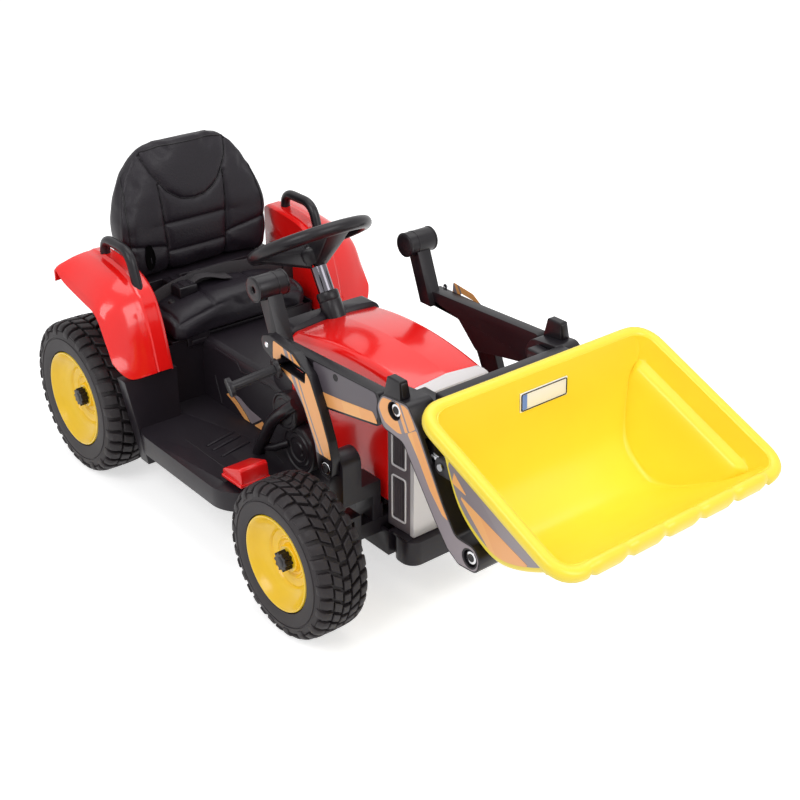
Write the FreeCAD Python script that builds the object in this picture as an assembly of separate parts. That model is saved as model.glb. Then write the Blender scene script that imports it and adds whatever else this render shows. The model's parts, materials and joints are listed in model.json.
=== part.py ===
import FreeCAD, Part
import math
import os

# Ride-on toy tractor with a hand-worked front loader, one solid per physical piece.
# Millimetres. +X points forward, +Y to the driver's left, +Z up. The origin lies on the
# floor under the middle of the machine. Pieces are made for the right side and mirrored.

# Whole machine
overall_length = 1200
overall_width = 520
wall = 4
skin = 3
seam = 0.3
running_fit = 0.08
overrun = 2
corner_hold_share = 0.45
shortest_side = 0.001

# Wheels: depths are measured inwards from a tyre's outer face
wheelbase = 590
rear_tyre_radius = 130
rear_tyre_width = 85
rear_rim_radius = 80
rear_wheel_inset = 5
front_tyre_radius = 115
front_tyre_width = 80
front_rim_radius = 71
tyre_shoulder = 14
rim_lip = 3
rim_barrel = 5
web_depth = 30
web_thickness = 6
web_step = 8
web_step_share = 0.62
hub_radius = 20
hub_depth = 22
nut_radius = 15
nut_length = 12
nut_teeth = 10
nut_root_share = 0.8
nut_grip = 8
axle_radius = 6

# Front axle and steering
kingpin_gap = 30
kingpin_radius = 5
knuckle_size = 24
knuckle_height = 48
yoke_thickness = 6
yoke_gap = 1
yoke_reach = 14
yoke_web = 12
beam_size = 24
steering_arm = 60
arm_width = 16
arm_thickness = 8
link_pin_radius = 3
link_play = 4
eye_radius = 12
tie_rod_width = 14
tie_rod_thickness = 6
column_tilt = 30
wheel_behind = 62
wheel_centre_z = 445
steering_radius = 87
steering_tube = 10
steering_dish = 12
steering_hub_radius = 21
steering_hub_length = 24
spoke_width = 24
spoke_thickness = 7
spoke_angles = (0, 115, 245)
shaft_radius = 6
shaft_length = 372
pitman_length = 38
sleeve_radius = 12
collar_radius = 17
collar_length = 16
sleeve_top = 38
sleeve_length = 60

# Black body tub
pedestal_behind = 90
pedestal_ahead = 122
pedestal_gap = 16
pedestal_top = 235
pan_bottom = 98
tray_bottom = 72
platform_top = 130
platform_gap = 39
platform_inset = 32
platform_corner = 55
tunnel_step = 10
tunnel_round = 14
skirt_gap = 7
skirt_depth = 24
skirt_lap = 8
skirt_inset = 11
skirt_taper = 28
skirt_bottom = 62
skirt_top = 218
tray_setback = 22
tray_top = 150
pillar_thickness = 32
post_half = 20
post_arm_bottom = 168
post_arm_top = 190
post_foot = 120
buttress = 14

# Rear fenders: outline shares are of the arch radius, from the wheel's centre
arch_radius = 186
arch_back = 8
arch_lift = 18
fender_inset = 5
fender_skin_shares = ((-0.129, 1.07), (-0.129, 1.30), (0.11, 1.31), (0.46, 1.27), (0.66, 1.15), (0.785, 0.94),
                      (0.90, 0.49))
fender_ease_shares = (0.35, 0.35, 1.0, 1.0, 0.65, 0.65, 0.5)
fender_round = 40
fender_round_shares = (0, 0.25, 1.0, 1.0, 1.0, 1.0, 0)
fender_shoulder = 34
shoulder_width_shares = (0, 0.10, 0.25, 0.45, 0.65, 0.85, 1.0)
shoulder_drop_shares = (0.15, 0, 0, 0.25, 0.60, 0.90, 1.30)

# Grab handles
grab_side = 21
grab_tube = 8
grab_ahead = 13
grab_span = 91
grab_lean = 11
grab_lean_share = 0.34
grab_top = 398

# Seat
seat_ahead = 140
seat_depth = 122
seat_inset = 20
cushion_top = 296
cushion_crown = 7
cushion_edge = 34
cushion_channel = 4
backrest_setback = 14
backrest_depth = 56
backrest_bottom = 304
backrest_top = 527
backrest_inset = 8
backrest_crown = 10
backrest_channel = 4
channel_half = 5
side_bulge = 4
backrest_rise_shares = (0, 0.05, 0.20, 0.38, 0.46, 0.62, 0.78, 0.89, 0.96, 1.0)
backrest_width_shares = (0.90, 0.95, 0.98, 1.0, 1.0, 0.95, 0.85, 0.73, 0.60, 0.38)
backrest_rear_shares = (0.06, 0, 0, 0, 0, 0, 0, 0.06, 0.18, 0.36)
backrest_front_shares = (0.1, 0, 0, 0, 0, 0.10, 0.26, 0.38, 0.46, 0.54)
backrest_channel_shares = (0.20, 0.38)
shell_thickness = 5
belt_width = 38
belt_thickness = 2
belt_ahead = 20
belt_drop = 40
buckle_length = 34
buckle_overhang = 9
buckle_height = 11
buckle_side = 70

# Hood, cowl and nose
hood_behind = 198
hood_length = 250
hood_gap = 48
hood_taper = 16
hood_top = 345
hood_crown = 6
hood_bulge = 12
hood_bulge_share = 0.4
hood_edge = 300
hood_round = 14
hood_rise_share = 0.97
side_bottom = 150
side_setback = 40
grille_step = 6
grille_bottom = 112
grille_top = 322
grille_thickness = 9
vent_depth = 3
vent_margin = 9
vent_gap = 16
vent_count = 2
nose_thickness = 8
nose_lip = 22
nose_slope = 14
bumper_reach = 12
bumper_inset = 2
bumper_top = 110
cowl_depth = 52
cowl_top = 352
cowl_round = 18
engine_gap = 22
pulley_ahead = 16
pulley_z = 226
pulley_radius = 30
drum_ahead = 42
drum_z = 172
drum_radius = 38
pipe_radius = 10

# Controls
pedal_length = 52
pedal_setback = 6
pedal_width = 50
pedal_inset = 22
pedal_rear_height = 14
pedal_front_height = 37
pedal_clearance = 7
pedal_pin_radius = 3
hinge_pad = 1
button_radius = 9
button_height = 6
button_stem = 4
rocker_length = 26
rocker_width = 16
rocker_height = 9
rocker_depth = 7
control_height = 300

# Power train inside the pedestal
motor_width = 40
gearbox_size = 74
motor_radius = 18
motor_length = 62
battery_length = 90
battery_gap = 35
battery_height = 96
control_length = 60
control_depth = 84
control_box_height = 30

# Loader frame
lift_behind = 7
lift_z = 228
tower_gap = 16
tower_thickness = 13.7
boom_thickness = 18
front_arm_thickness = 38
tower_reach = 130
tower_rise = 144
tower_shares = ((0.12, 0.13), (0.07, 0.305), (-0.06, 0.576), (-0.24, 0.889), (-0.51, 1.04), (-0.946, 1.083),
                (-1.13, 1.03), (-1.10, 0.90), (-0.94, 0.845), (-0.546, 0.70), (-0.37, 0.52), (-0.19, 0.20),
                (-0.154, 0.02), (-0.10, -0.105), (0.09, -0.105))
tower_round = 16
tower_left_top = 365
slot_start_share = (-0.738, 0.889)
slot_travel = 52
slot_drop = 5
slot_half = 8
boom_lap = 7
boom_height = 82
boom_behind = 149
boom_base = 308
boom_shares = ((0, 0.5), (0, 0.72), (0.15, 0.76), (1.0, 0.865), (1.0, 0.28), (0.49, 0), (0.33, 0.45))
boom_round = 8
pivot_ahead = 41.35
pivot_z = 221
arm_reach = 185
arm_rise = 166
arm_shares = ((-1.0, 0.837), (-0.935, 0.97), (-0.654, 1.0), (-0.54, 0.837), (-0.276, 0.325), (-0.146, 0.12),
              (0.04, 0.12), (0.105, 0.03), (0.08, -0.102), (-0.114, -0.12), (-0.232, -0.042), (-0.368, 0.139),
              (-0.578, 0.452), (-0.708, 0.645), (-0.924, 0.675))
arm_round = 14
cross_behind = 62.65
cross_top = 394
cross_depth = 22
cross_height = 30
grip_behind = 16
grip_z = 437
grip_inset = 15
grip_radius = 18
grip_length = 52
grip_bore = 4
post_width = 24
post_thickness = 24
post_ahead = 18
knob_behind = 49
bumper_length = 34
bumper_width = 18
bumper_height = 30
bumper_top_share = 0.7
bolt_radius = 5
bolt_head = 9
bolt_head_height = 4
bolt_recess = 12
elbow_share = (-0.795, 0.88)

# Bucket, in its own frame along the rim from the back edge to the lip
bucket_length = 258
bucket_depth = 146
bucket_pitch = 23.1
bucket_back_z = 420
bucket_inset = 72
bucket_taper = 38
bucket_rim = 12
bucket_rim_thickness = 5
bucket_shares = ((0, 0), (0.16, -0.58), (0.29, -0.90), (0.51, -1.0), (0.65, -0.886), (0.83, -0.507), (1.0, 0))
bucket_round = 34
rim_corner = 22
tooth_count = 5
tooth_radius = 9
tooth_length = 34
lug_thickness = 25.6
lug_gap = 0.8
lug_radius = 17
tilt_lug_reach = 20
clevis_thickness = 5
clevis_half = 12
plate_width = 82
plate_height = 26
plate_thickness = 2
plate_drop = 20

# Tilt handle and rod
spindle_radius = 4
spool_start = 6
spool_drop = 9
spool_length = 71
spool_radius = 7
spool_disc = 14
spool_disc_thickness = 6
spool_droop = 16
spool_sweep = 18
rod_radius = 4
rod_eye_radius = 12
rod_eye_width = 8
rod_swing = 12

# Places worked out from the sizes above
rear_axle_x = rear_tyre_radius - overall_length / 2
front_axle_x = rear_axle_x + wheelbase
front_outer = overall_width / 2
rear_outer = front_outer - rear_wheel_inset
kingpin_y = front_outer - front_tyre_width - kingpin_gap
pedestal_rear = rear_axle_x - pedestal_behind
pedestal_front = rear_axle_x + pedestal_ahead
pedestal_half = rear_outer - rear_tyre_width - pedestal_gap
skirt_front = rear_axle_x + rear_tyre_radius + skirt_gap + skirt_depth
skirt_inner = pedestal_half - skirt_lap
fender_outer = rear_outer - fender_inset
skirt_outer = fender_outer - skirt_inset
skirt_foot_outer = skirt_outer - skirt_taper
grab_rear_x = rear_axle_x + grab_ahead
grab_front_x = grab_rear_x + grab_span
grab_y = pedestal_half + grab_side
seat_front = rear_axle_x + seat_ahead
seat_rear = seat_front - seat_depth
seat_half = pedestal_half - seat_inset
backrest_front = seat_rear - backrest_setback
backrest_rear = backrest_front - backrest_depth
backrest_half = pedestal_half - backrest_inset
belt_rear = seat_rear + belt_ahead
battery_width = 2 * (pedestal_half - wall - motor_width - battery_gap)
tower_outer = front_outer - front_tyre_width - tower_gap
boom_outer = tower_outer - tower_thickness - seam
boom_inner = boom_outer - boom_thickness
arm_inner = boom_outer - front_arm_thickness
post_outer = boom_outer
post_inner = post_outer - pillar_thickness
hood_rear = front_axle_x - hood_behind
hood_front = hood_rear + hood_length
hood_rear_half = boom_inner - hood_gap
hood_front_half = hood_rear_half - hood_taper
side_front = hood_front - side_setback
grille_front = hood_front + grille_step
nose_front = grille_front + nose_thickness
bumper_front = nose_front + bumper_reach
tray_front = hood_front - tray_setback
tray_half = hood_rear_half
bumper_half = tray_half - bumper_inset
tunnel_front = hood_rear
tunnel_half = tray_half - tunnel_step
cowl_rear = hood_rear - cowl_depth
control_side = hood_rear_half / 2
engine_outer = boom_inner - engine_gap
pulley_x = hood_rear + pulley_ahead
drum_x = hood_rear + drum_ahead
platform_front = front_axle_x - front_tyre_radius - platform_gap
platform_half = front_outer - platform_inset
pedal_front = platform_front - pedal_setback
pedal_rear = pedal_front - pedal_length
pedal_outer = platform_half - pedal_inset
pedal_inner = pedal_outer - pedal_width
wheel_centre_x = hood_rear - wheel_behind
lift_x = front_axle_x - lift_behind
boom_rear = lift_x - boom_behind
grip_x = boom_rear - grip_behind
grip_y = boom_outer - grip_inset
post_foot_x = boom_rear + post_ahead
bucket_half = front_outer - bucket_inset
bucket_floor_half = bucket_half - bucket_taper
lug_outer = arm_inner - lug_gap
lug_inner = lug_outer - lug_thickness
tower_inner = boom_outer + seam
fender_inner = pedestal_half + seam
boom_mid = (boom_outer + boom_inner) / 2
column_angle = math.radians(column_tilt)
column_down = FreeCAD.Vector(math.sin(column_angle), 0, -math.cos(column_angle))
column_side = FreeCAD.Vector(-math.cos(column_angle), 0, -math.sin(column_angle))
wheel_centre = FreeCAD.Vector(wheel_centre_x, 0, wheel_centre_z)
pitch = math.radians(bucket_pitch)
bucket_back_x = overall_length / 2 - (bucket_length + bucket_rim) * math.cos(pitch)
pivot_x = bucket_back_x + pivot_ahead
cross_x = bucket_back_x - cross_behind
bumper_x = cross_x - knob_behind
boom_length = pivot_x - arm_reach + boom_lap - boom_rear
slot_x = lift_x + slot_start_share[0] * tower_reach
slot_z = lift_z + slot_start_share[1] * tower_rise
slot_end_x = slot_x + slot_travel
slot_end_z = slot_z - slot_drop
y_axis = FreeCAD.Vector(0, 1, 0)
z_axis = FreeCAD.Vector(0, 0, 1)


def vec(x, y, z):
    return FreeCAD.Vector(x, y, z)


def box(x0, x1, y0, y1, z0, z1):
    return Part.makeBox(x1 - x0, y1 - y0, z1 - z0, vec(x0, y0, z0))


def rod(start, end, radius):
    path = end - start
    return Part.makeCylinder(radius, path.Length, start, path)


def across(x, z, y0, y1, radius):
    return rod(vec(x, y0, z), vec(x, y1, z), radius)


def upright(x, y, z0, z1, radius):
    return rod(vec(x, y, z0), vec(x, y, z1), radius)


def mirrored(shape):
    return shape.mirror(vec(0, 0, 0), y_axis)


def joined(shapes):
    whole = shapes[0].fuse(shapes[1:]).removeSplitter()
    return whole.Solids[0] if len(whole.Solids) == 1 else whole


def rounded_wire(points, radii):
    """A closed wire through the points, each corner eased by an arc that its sides can hold."""
    edges = []
    starts = []
    ends = []
    count = len(points)
    for i, corner in enumerate(points):
        before = points[i - 1] - corner
        after = points[(i + 1) % count] - corner
        half = before.getAngle(after) / 2
        most = corner_hold_share * min(before.Length, after.Length)
        back = min(radii[i] / math.tan(half), most) if radii[i] else 0
        starts.append(corner + vec(*before).normalize() * back)
        ends.append(corner + vec(*after).normalize() * back)
        if back:
            inward = (vec(*before).normalize() + vec(*after).normalize()).normalize()
            eased = back * math.tan(half)
            middle = corner + inward * (eased / math.sin(half) - eased)
            edges.append(Part.Arc(starts[i], middle, ends[i]).toShape())
    sides = []
    for i in range(count):
        start = ends[i]
        end = starts[(i + 1) % count]
        if (end - start).Length > shortest_side:
            sides.append(Part.LineSegment(start, end).toShape())
    return Part.Wire(Part.__sortEdges__(edges + sides))


def slab(points, radius, y0, y1):
    """An outline of (x, z) points pushed along Y."""
    corners = [vec(x, y0, z) for x, z in points]
    face = Part.Face(rounded_wire(corners, [radius] * len(corners)))
    return face.extrude(vec(0, y1 - y0, 0))


def plan(points, radius, z0, z1):
    """An outline of (x, y) points raised along Z."""
    corners = [vec(x, y, z0) for x, y in points]
    face = Part.Face(rounded_wire(corners, [radius] * len(corners)))
    return face.extrude(vec(0, 0, z1 - z0))


def spread(shares, origin, size):
    return [(origin[0] + a * size[0], origin[1] + b * size[1]) for a, b in shares]


def turned(profile):
    """A closed (radius, depth) outline turned about the Y axis."""
    face = Part.Face(Part.makePolygon([vec(r, d, 0) for r, d in profile + profile[:1]]))
    return face.revolve(vec(0, 0, 0), y_axis, 360)


def slot(x0, z0, x1, z1, half, y0, y1):
    """A round-ended slot along the line from (x0, z0) to (x1, z1), cut along Y."""
    along = vec(x1 - x0, 0, z1 - z0).normalize() * half
    side = vec(-along.z, 0, along.x)
    start = vec(x0, y0, z0)
    end = vec(x1, y0, z1)
    edges = [Part.LineSegment(start + side, end + side).toShape(),
             Part.Arc(end + side, end + along, end - side).toShape(),
             Part.LineSegment(end - side, start - side).toShape(),
             Part.Arc(start - side, start - along, start + side).toShape()]
    return Part.Face(Part.Wire(edges)).extrude(vec(0, y1 - y0, 0))


def tyre_ring(radius, width, rim_radius):
    inner = rim_radius + seam
    corners = [vec(inner, 0, 0), vec(radius, 0, 0), vec(radius, width, 0), vec(inner, width, 0)]
    face = Part.Face(rounded_wire(corners, [0, tyre_shoulder, tyre_shoulder, 0]))
    return face.revolve(vec(0, 0, 0), y_axis, 360)


def wheel_rim(width, rim_radius):
    bore = axle_radius + running_fit
    barrel = rim_radius - rim_barrel
    step = rim_radius * web_step_share
    outer_web = web_depth - web_step
    inner_step = step + web_thickness
    outer_back = outer_web + web_thickness
    inner_back = web_depth + web_thickness
    end = width - rim_lip
    return turned([(bore, hub_depth), (hub_radius, hub_depth), (hub_radius, web_depth), (step, web_depth),
                   (step, outer_web), (barrel, outer_web), (barrel, rim_lip), (rim_radius, rim_lip),
                   (rim_radius, end), (barrel, end), (barrel, outer_back), (inner_step, outer_back),
                   (inner_step, inner_back), (hub_radius, inner_back), (hub_radius, end), (bore, end)])


def hub_nut():
    points = []
    for i in range(4 * nut_teeth):
        radius = nut_radius if i % 4 < 2 else nut_radius * nut_root_share
        angle = math.radians(360 * i / (4 * nut_teeth))
        points.append(vec(radius * math.cos(angle), hub_depth - nut_length, radius * math.sin(angle)))
    nut = Part.Face(Part.makePolygon(points + points[:1])).extrude(vec(0, nut_length, 0))
    return nut.cut(across(0, 0, hub_depth - nut_grip - seam, hub_depth + overrun, axle_radius + seam))


def wheels(name, radius, width, rim_radius, outer, axle_x):
    pieces = {"tyre": tyre_ring(radius, width, rim_radius), "rim": wheel_rim(width, rim_radius),
              "nut": hub_nut()}
    for kind, shape in pieces.items():
        right = shape.translated(vec(axle_x, -outer, radius))
        parts[f"{name}_{kind}_right"] = right
        parts[f"{name}_{kind}_left"] = mirrored(right)


def rear_axle():
    reach = rear_outer - hub_depth + nut_grip
    return across(rear_axle_x, rear_tyre_radius, -reach, reach, axle_radius)


def front_beam():
    half = beam_size / 2
    top = knuckle_height / 2 + yoke_gap
    beam = box(front_axle_x - half, front_axle_x + half, -kingpin_y, kingpin_y,
               front_tyre_radius - half, front_tyre_radius + half)
    clear = knuckle_size / math.sqrt(2) + yoke_gap
    web = kingpin_y - clear
    shapes = [beam]
    for side in (-1, 1):
        ends = sorted((side * (web - yoke_web), side * (kingpin_y + yoke_reach)))
        block = box(front_axle_x - yoke_reach, front_axle_x + yoke_reach, ends[0], ends[1],
                    front_tyre_radius - top - yoke_thickness, front_tyre_radius + top + yoke_thickness)
        shapes.append(block)
    whole = joined(shapes)
    for side in (-1, 1):
        ends = sorted((side * web, side * (kingpin_y + yoke_reach + overrun)))
        whole = whole.cut(box(front_axle_x - yoke_reach - overrun, front_axle_x + yoke_reach + overrun,
                              ends[0], ends[1], front_tyre_radius - top, front_tyre_radius + top))
        whole = whole.cut(upright(front_axle_x, side * kingpin_y, 0, 2 * front_tyre_radius,
                                  kingpin_radius + running_fit))
    return whole


def knuckle():
    half = knuckle_size / 2
    low = front_tyre_radius - knuckle_height / 2
    end_x = front_axle_x - steering_arm
    side = arm_width / 2
    block = box(front_axle_x - half, front_axle_x + half, -kingpin_y - half, -kingpin_y + half,
                low, low + knuckle_height)
    stub_end = -front_outer + hub_depth - nut_grip
    stub = across(front_axle_x, front_tyre_radius, stub_end, -kingpin_y, axle_radius)
    arm = box(end_x, front_axle_x, -kingpin_y - side, -kingpin_y + side, low, low + arm_thickness)
    eye = upright(end_x, -kingpin_y, low, low + arm_thickness, side)
    pin = upright(end_x, -kingpin_y, low - tie_rod_thickness - seam, low, link_pin_radius)
    bore = upright(front_axle_x, -kingpin_y, 0, 2 * front_tyre_radius, kingpin_radius + running_fit)
    return joined([block, stub, arm, eye, pin]).cut(bore)


def tie_rod_top():
    return front_tyre_radius - knuckle_height / 2 - seam


def pitman_pin_foot():
    """Where the pitman pin's line meets the top of the tie rod."""
    start = wheel_centre + column_down * shaft_length + column_side * pitman_length
    drop = (start.z - tie_rod_top()) / -column_down.z
    return start + column_down * drop


def tie_rod():
    x = front_axle_x - steering_arm
    top = tie_rod_top()
    low = top - tie_rod_thickness
    half = tie_rod_width / 2
    foot = pitman_pin_foot()
    reach = link_pin_radius + 2 * link_play
    slack = link_pin_radius + link_play / 2
    bar = box(x - half, x + half, -kingpin_y, kingpin_y, low, top)
    lug = box(foot.x - reach - half, x, -half - link_play, half + link_play, low, top)
    eyes = [upright(x, side * kingpin_y, low, top, eye_radius) for side in (-1, 1)]
    whole = joined([bar, lug] + eyes)
    for side in (-1, 1):
        hole = upright(x, side * kingpin_y, low - overrun, top + overrun, link_pin_radius + link_play)
        whole = whole.cut(hole)
    return whole.cut(box(foot.x - reach, foot.x + reach, -slack, slack, low - overrun, top + overrun))


def steering_shaft():
    start = wheel_centre + column_down * (steering_dish + steering_hub_length / 2)
    end = wheel_centre + column_down * shaft_length
    shaft = rod(start, end, shaft_radius)
    arm_end = end + column_side * pitman_length
    arm = rod(end - column_down * shaft_radius, arm_end - column_down * shaft_radius, shaft_radius)
    pin_end = pitman_pin_foot() + column_down * (tie_rod_thickness / 2)
    return joined([shaft, arm, rod(arm_end - column_down * shaft_radius, pin_end, link_pin_radius)])


def steering_wheel():
    rim = Part.makeTorus(steering_radius, steering_tube)
    hub = upright(0, 0, -steering_dish - steering_hub_length, -steering_dish, steering_hub_radius)
    shapes = [rim, hub]
    low = -steering_dish - spoke_thickness
    for angle in spoke_angles:
        corners = [vec(0, -spoke_width / 2, low), vec(0, -spoke_width / 2, low + spoke_thickness),
                   vec(steering_radius, -spoke_width / 2, spoke_thickness / 2),
                   vec(steering_radius, -spoke_width / 2, -spoke_thickness / 2)]
        face = Part.Face(Part.makePolygon(corners + corners[:1]))
        spoke = face.extrude(vec(0, spoke_width, 0))
        spoke.rotate(vec(0, 0, 0), z_axis, angle)
        shapes.append(spoke)
    whole = joined(shapes)
    whole = whole.cut(upright(0, 0, -steering_dish - steering_hub_length - overrun,
                              -steering_dish - steering_hub_length / 2, shaft_radius))
    whole.rotate(vec(0, 0, 0), y_axis, -column_tilt)
    return whole.translated(wheel_centre)


def column_sleeve():
    start = wheel_centre + column_down * sleeve_top
    end = start + column_down * sleeve_length
    tube = rod(start, end + column_down * collar_length, sleeve_radius)
    collar = rod(end - column_down * collar_length, end + column_down * collar_length, collar_radius)
    bore = rod(start - column_down * overrun, end + column_down * (collar_length + overrun),
               shaft_radius + running_fit)
    return joined([tube, collar]).cut(bore)


def column_hole(radius):
    return rod(wheel_centre, wheel_centre + column_down * shaft_length, radius)


def body_tub():
    pedestal = box(pedestal_rear, pedestal_front, -pedestal_half, pedestal_half, tray_bottom, pedestal_top)
    corners = [e for e in pedestal.Edges if e.BoundBox.ZLength > wall]
    pedestal = pedestal.makeFillet(tunnel_round, corners)
    skirt_rear = skirt_front - skirt_depth
    deck = plan([(skirt_rear, -platform_half), (platform_front, -platform_half),
                 (platform_front, platform_half), (skirt_rear, platform_half)], platform_corner,
                pan_bottom, platform_top)
    deck_rear = box(pedestal_front - wall, skirt_rear + platform_corner, -skirt_inner, skirt_inner,
                    pan_bottom, platform_top)
    tunnel = box(pedestal_front - wall, tunnel_front, -tunnel_half, tunnel_half, pan_bottom, pedestal_top)
    ridges = [e for e in tunnel.Edges if e.BoundBox.XLength > wall and e.BoundBox.YLength < wall]
    ridges = [e for e in ridges if e.BoundBox.ZMin > platform_top]
    tunnel = tunnel.makeFillet(tunnel_round, ridges)
    tray = box(platform_front - wall, tray_front, -tray_half, tray_half, tray_bottom, tray_top)
    shapes = [pedestal, deck, deck_rear, tunnel, tray]
    cuts = [box(pedestal_rear + wall, pedestal_front - wall, -pedestal_half + wall, pedestal_half - wall,
                tray_bottom + wall, pedestal_top + overrun),
            plan([(skirt_rear + wall, -platform_half + wall), (platform_front - wall, -platform_half + wall),
                  (platform_front - wall, platform_half - wall), (skirt_rear + wall, platform_half - wall)],
                 platform_corner - wall, pan_bottom - overrun, platform_top - wall),
            box(pedestal_front, tunnel_front - wall, -tunnel_half + wall, tunnel_half - wall,
                pan_bottom - overrun, pedestal_top - wall),
            box(platform_front, tray_front - wall, -tray_half + wall, tray_half - wall,
                tray_bottom + wall, tray_top + overrun)]
    for side in (-1, 1):
        skirt_shape = ((skirt_inner, skirt_bottom), (skirt_foot_outer, skirt_bottom),
                       (skirt_outer, skirt_top),
                       (skirt_inner, skirt_top))
        skirt = [vec(skirt_rear, side * y, z) for y, z in skirt_shape]
        shapes.append(Part.Face(Part.makePolygon(skirt + skirt[:1])).extrude(vec(skirt_depth, 0, 0)))
        root_y = sorted((side * (tray_half - wall), side * (tray_half + buttress)))
        stem_y = sorted((side * (tray_half + seam), side * (tray_half + buttress)))
        arm_y = sorted((side * (tray_half + seam), side * post_outer))
        post_y = sorted((side * post_inner, side * post_outer))
        x = (lift_x - post_half, lift_x + post_half)
        shapes.append(box(x[0], x[1], root_y[0], root_y[1], post_foot, tray_top))
        shapes.append(box(x[0], x[1], stem_y[0], stem_y[1], post_foot, post_arm_top))
        shapes.append(box(x[0], x[1], arm_y[0], arm_y[1], post_arm_bottom, post_arm_top))
        shapes.append(box(x[0], x[1], post_y[0], post_y[1], post_arm_bottom, lift_z))
        shapes.append(across(lift_x, lift_z, post_y[0], post_y[1], post_half))
        cuts.append(across(lift_x, lift_z, side * (post_inner - overrun), side * (post_outer + overrun),
                           bolt_radius + running_fit))
    hinge_x, hinge_z = pedal_hinge()
    shapes.append(box(hinge_x - 2 * pedal_pin_radius, hinge_x + 2 * pedal_pin_radius,
                      -pedal_outer, -pedal_inner,
                      platform_top - hinge_pad, platform_top + hinge_pad))
    tub = joined(shapes)
    half = beam_size / 2 + seam
    reach = tray_half + buttress + overrun
    cuts.append(box(front_axle_x - half, front_axle_x + half, -reach, reach,
                    front_tyre_radius - half, front_tyre_radius + half))
    cuts.append(box(side_front, tray_front + overrun, -reach, reach, grille_bottom, tray_top + overrun))
    rod_x = front_axle_x - steering_arm
    cuts.append(box(rod_x - tie_rod_width, rod_x + tie_rod_width, -tray_half - overrun, tray_half + overrun,
                    tie_rod_top() - tie_rod_thickness - overrun, tie_rod_top() + overrun))
    cuts.append(across(rear_axle_x, rear_tyre_radius, -pedestal_half - overrun, pedestal_half + overrun,
                       axle_radius + running_fit))
    cuts.append(column_hole(sleeve_radius + overrun))
    for cutter in cuts:
        tub = tub.cut(cutter)
    return tub


def fender_points(inset, drop):
    """The mudguard's side outline, drawn in by an inset and eased down by a drop."""
    points = []
    for (a, b), ease in zip(fender_skin_shares, fender_ease_shares):
        length = math.hypot(a, b) * arch_radius
        scale = (length - inset - drop * ease) / length * arch_radius
        points.append((rear_axle_x + a * scale, rear_tyre_radius + b * scale))
    return points + [(rear_axle_x, points[-1][1])]


def fender_block(inset):
    """The mudguard's outer form: side outlines lofted outwards over its rounded shoulder."""
    start = fender_inner + inset
    width = fender_outer - inset - start
    rows = []
    for out, down in zip(shoulder_width_shares, shoulder_drop_shares):
        corners = [vec(x, -start - out * width, z) for x, z in fender_points(inset, down * fender_shoulder)]
        radii = [share * (fender_round - inset) for share in fender_round_shares]
        rows.append(rounded_wire(corners, radii + [0]))
    return Part.makeLoft(rows, True, True)


def fender():
    front, rear = fender_skin_shares[-1], fender_skin_shares[0]
    rear_x = rear_axle_x + rear[0] * arch_radius
    front_x = rear_axle_x + front[0] * arch_radius
    arch = across(rear_axle_x - arch_back, rear_tyre_radius + arch_lift, -fender_outer - overrun,
                  -fender_inner - skin, arch_radius)
    back = box(rear_x - arch_radius, rear_x, -fender_outer - overrun, -fender_inner + overrun,
               0, rear_tyre_radius + rear[1] * arch_radius)
    lower = box(rear_x - arch_radius, front_x + overrun, -fender_outer - overrun, -fender_inner + overrun,
                0, skirt_top + seam)
    return fender_block(0).cut(arch).cut(fender_block(skin)).cut(back).cut(lower)


def grab_handle():
    foot_z = pedestal_top
    fall = grab_top - foot_z
    front_top = grab_front_x - grab_lean
    points = [vec(grab_rear_x, -grab_y, foot_z), vec(grab_rear_x, -grab_y, grab_top),
              vec(front_top, -grab_y, grab_top), vec(front_top + grab_lean_share * fall, -grab_y, foot_z)]
    shapes = [rod(points[i], points[i + 1], grab_tube) for i in range(3)]
    shapes += [Part.makeSphere(grab_tube, p) for p in points[1:3]]
    whole = joined(shapes).cut(fender_block(0))
    return max(whole.Solids, key=lambda solid: solid.BoundBox.ZMax)


def cushion_arc(x, half, base, edge, top):
    """One cross section of the seat cushion: flat base, bulged sides and a crowned top."""
    middle = (base + edge) / 2
    left = vec(x, -half, base)
    right = vec(x, half, base)
    left_top = vec(x, -half, edge)
    right_top = vec(x, half, edge)
    edges = [Part.LineSegment(left, right).toShape(),
             Part.Arc(right, vec(x, half + side_bulge, middle), right_top).toShape(),
             Part.Arc(right_top, vec(x, 0, top), left_top).toShape(),
             Part.Arc(left_top, vec(x, -half - side_bulge, middle), left).toShape()]
    return Part.Wire(edges)


def cushion_base():
    return pedestal_top + seam + shell_thickness + seam


def seat_cushion():
    base = cushion_base()
    half = seat_half - side_bulge
    depth = seat_front - seat_rear
    edge = cushion_top - cushion_edge / 2
    groove_x = seat_front - depth / 2
    rows = [(seat_front, half - cushion_edge / 2, edge - cushion_edge / 2, edge - cushion_edge / 3),
            (seat_front - cushion_edge / 3, half, edge - cushion_crown, cushion_top - cushion_crown),
            (seat_front - cushion_edge, half, edge, cushion_top),
            (groove_x + channel_half, half, edge, cushion_top),
            (groove_x, half, edge, cushion_top - cushion_channel),
            (groove_x - channel_half, half, edge, cushion_top),
            (seat_rear + cushion_edge, half, edge, cushion_top),
            (seat_rear, half - side_bulge, edge, cushion_top - cushion_crown)]
    return Part.makeLoft([cushion_arc(x, h, base, e, t) for x, h, e, t in rows], True, True)


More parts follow.
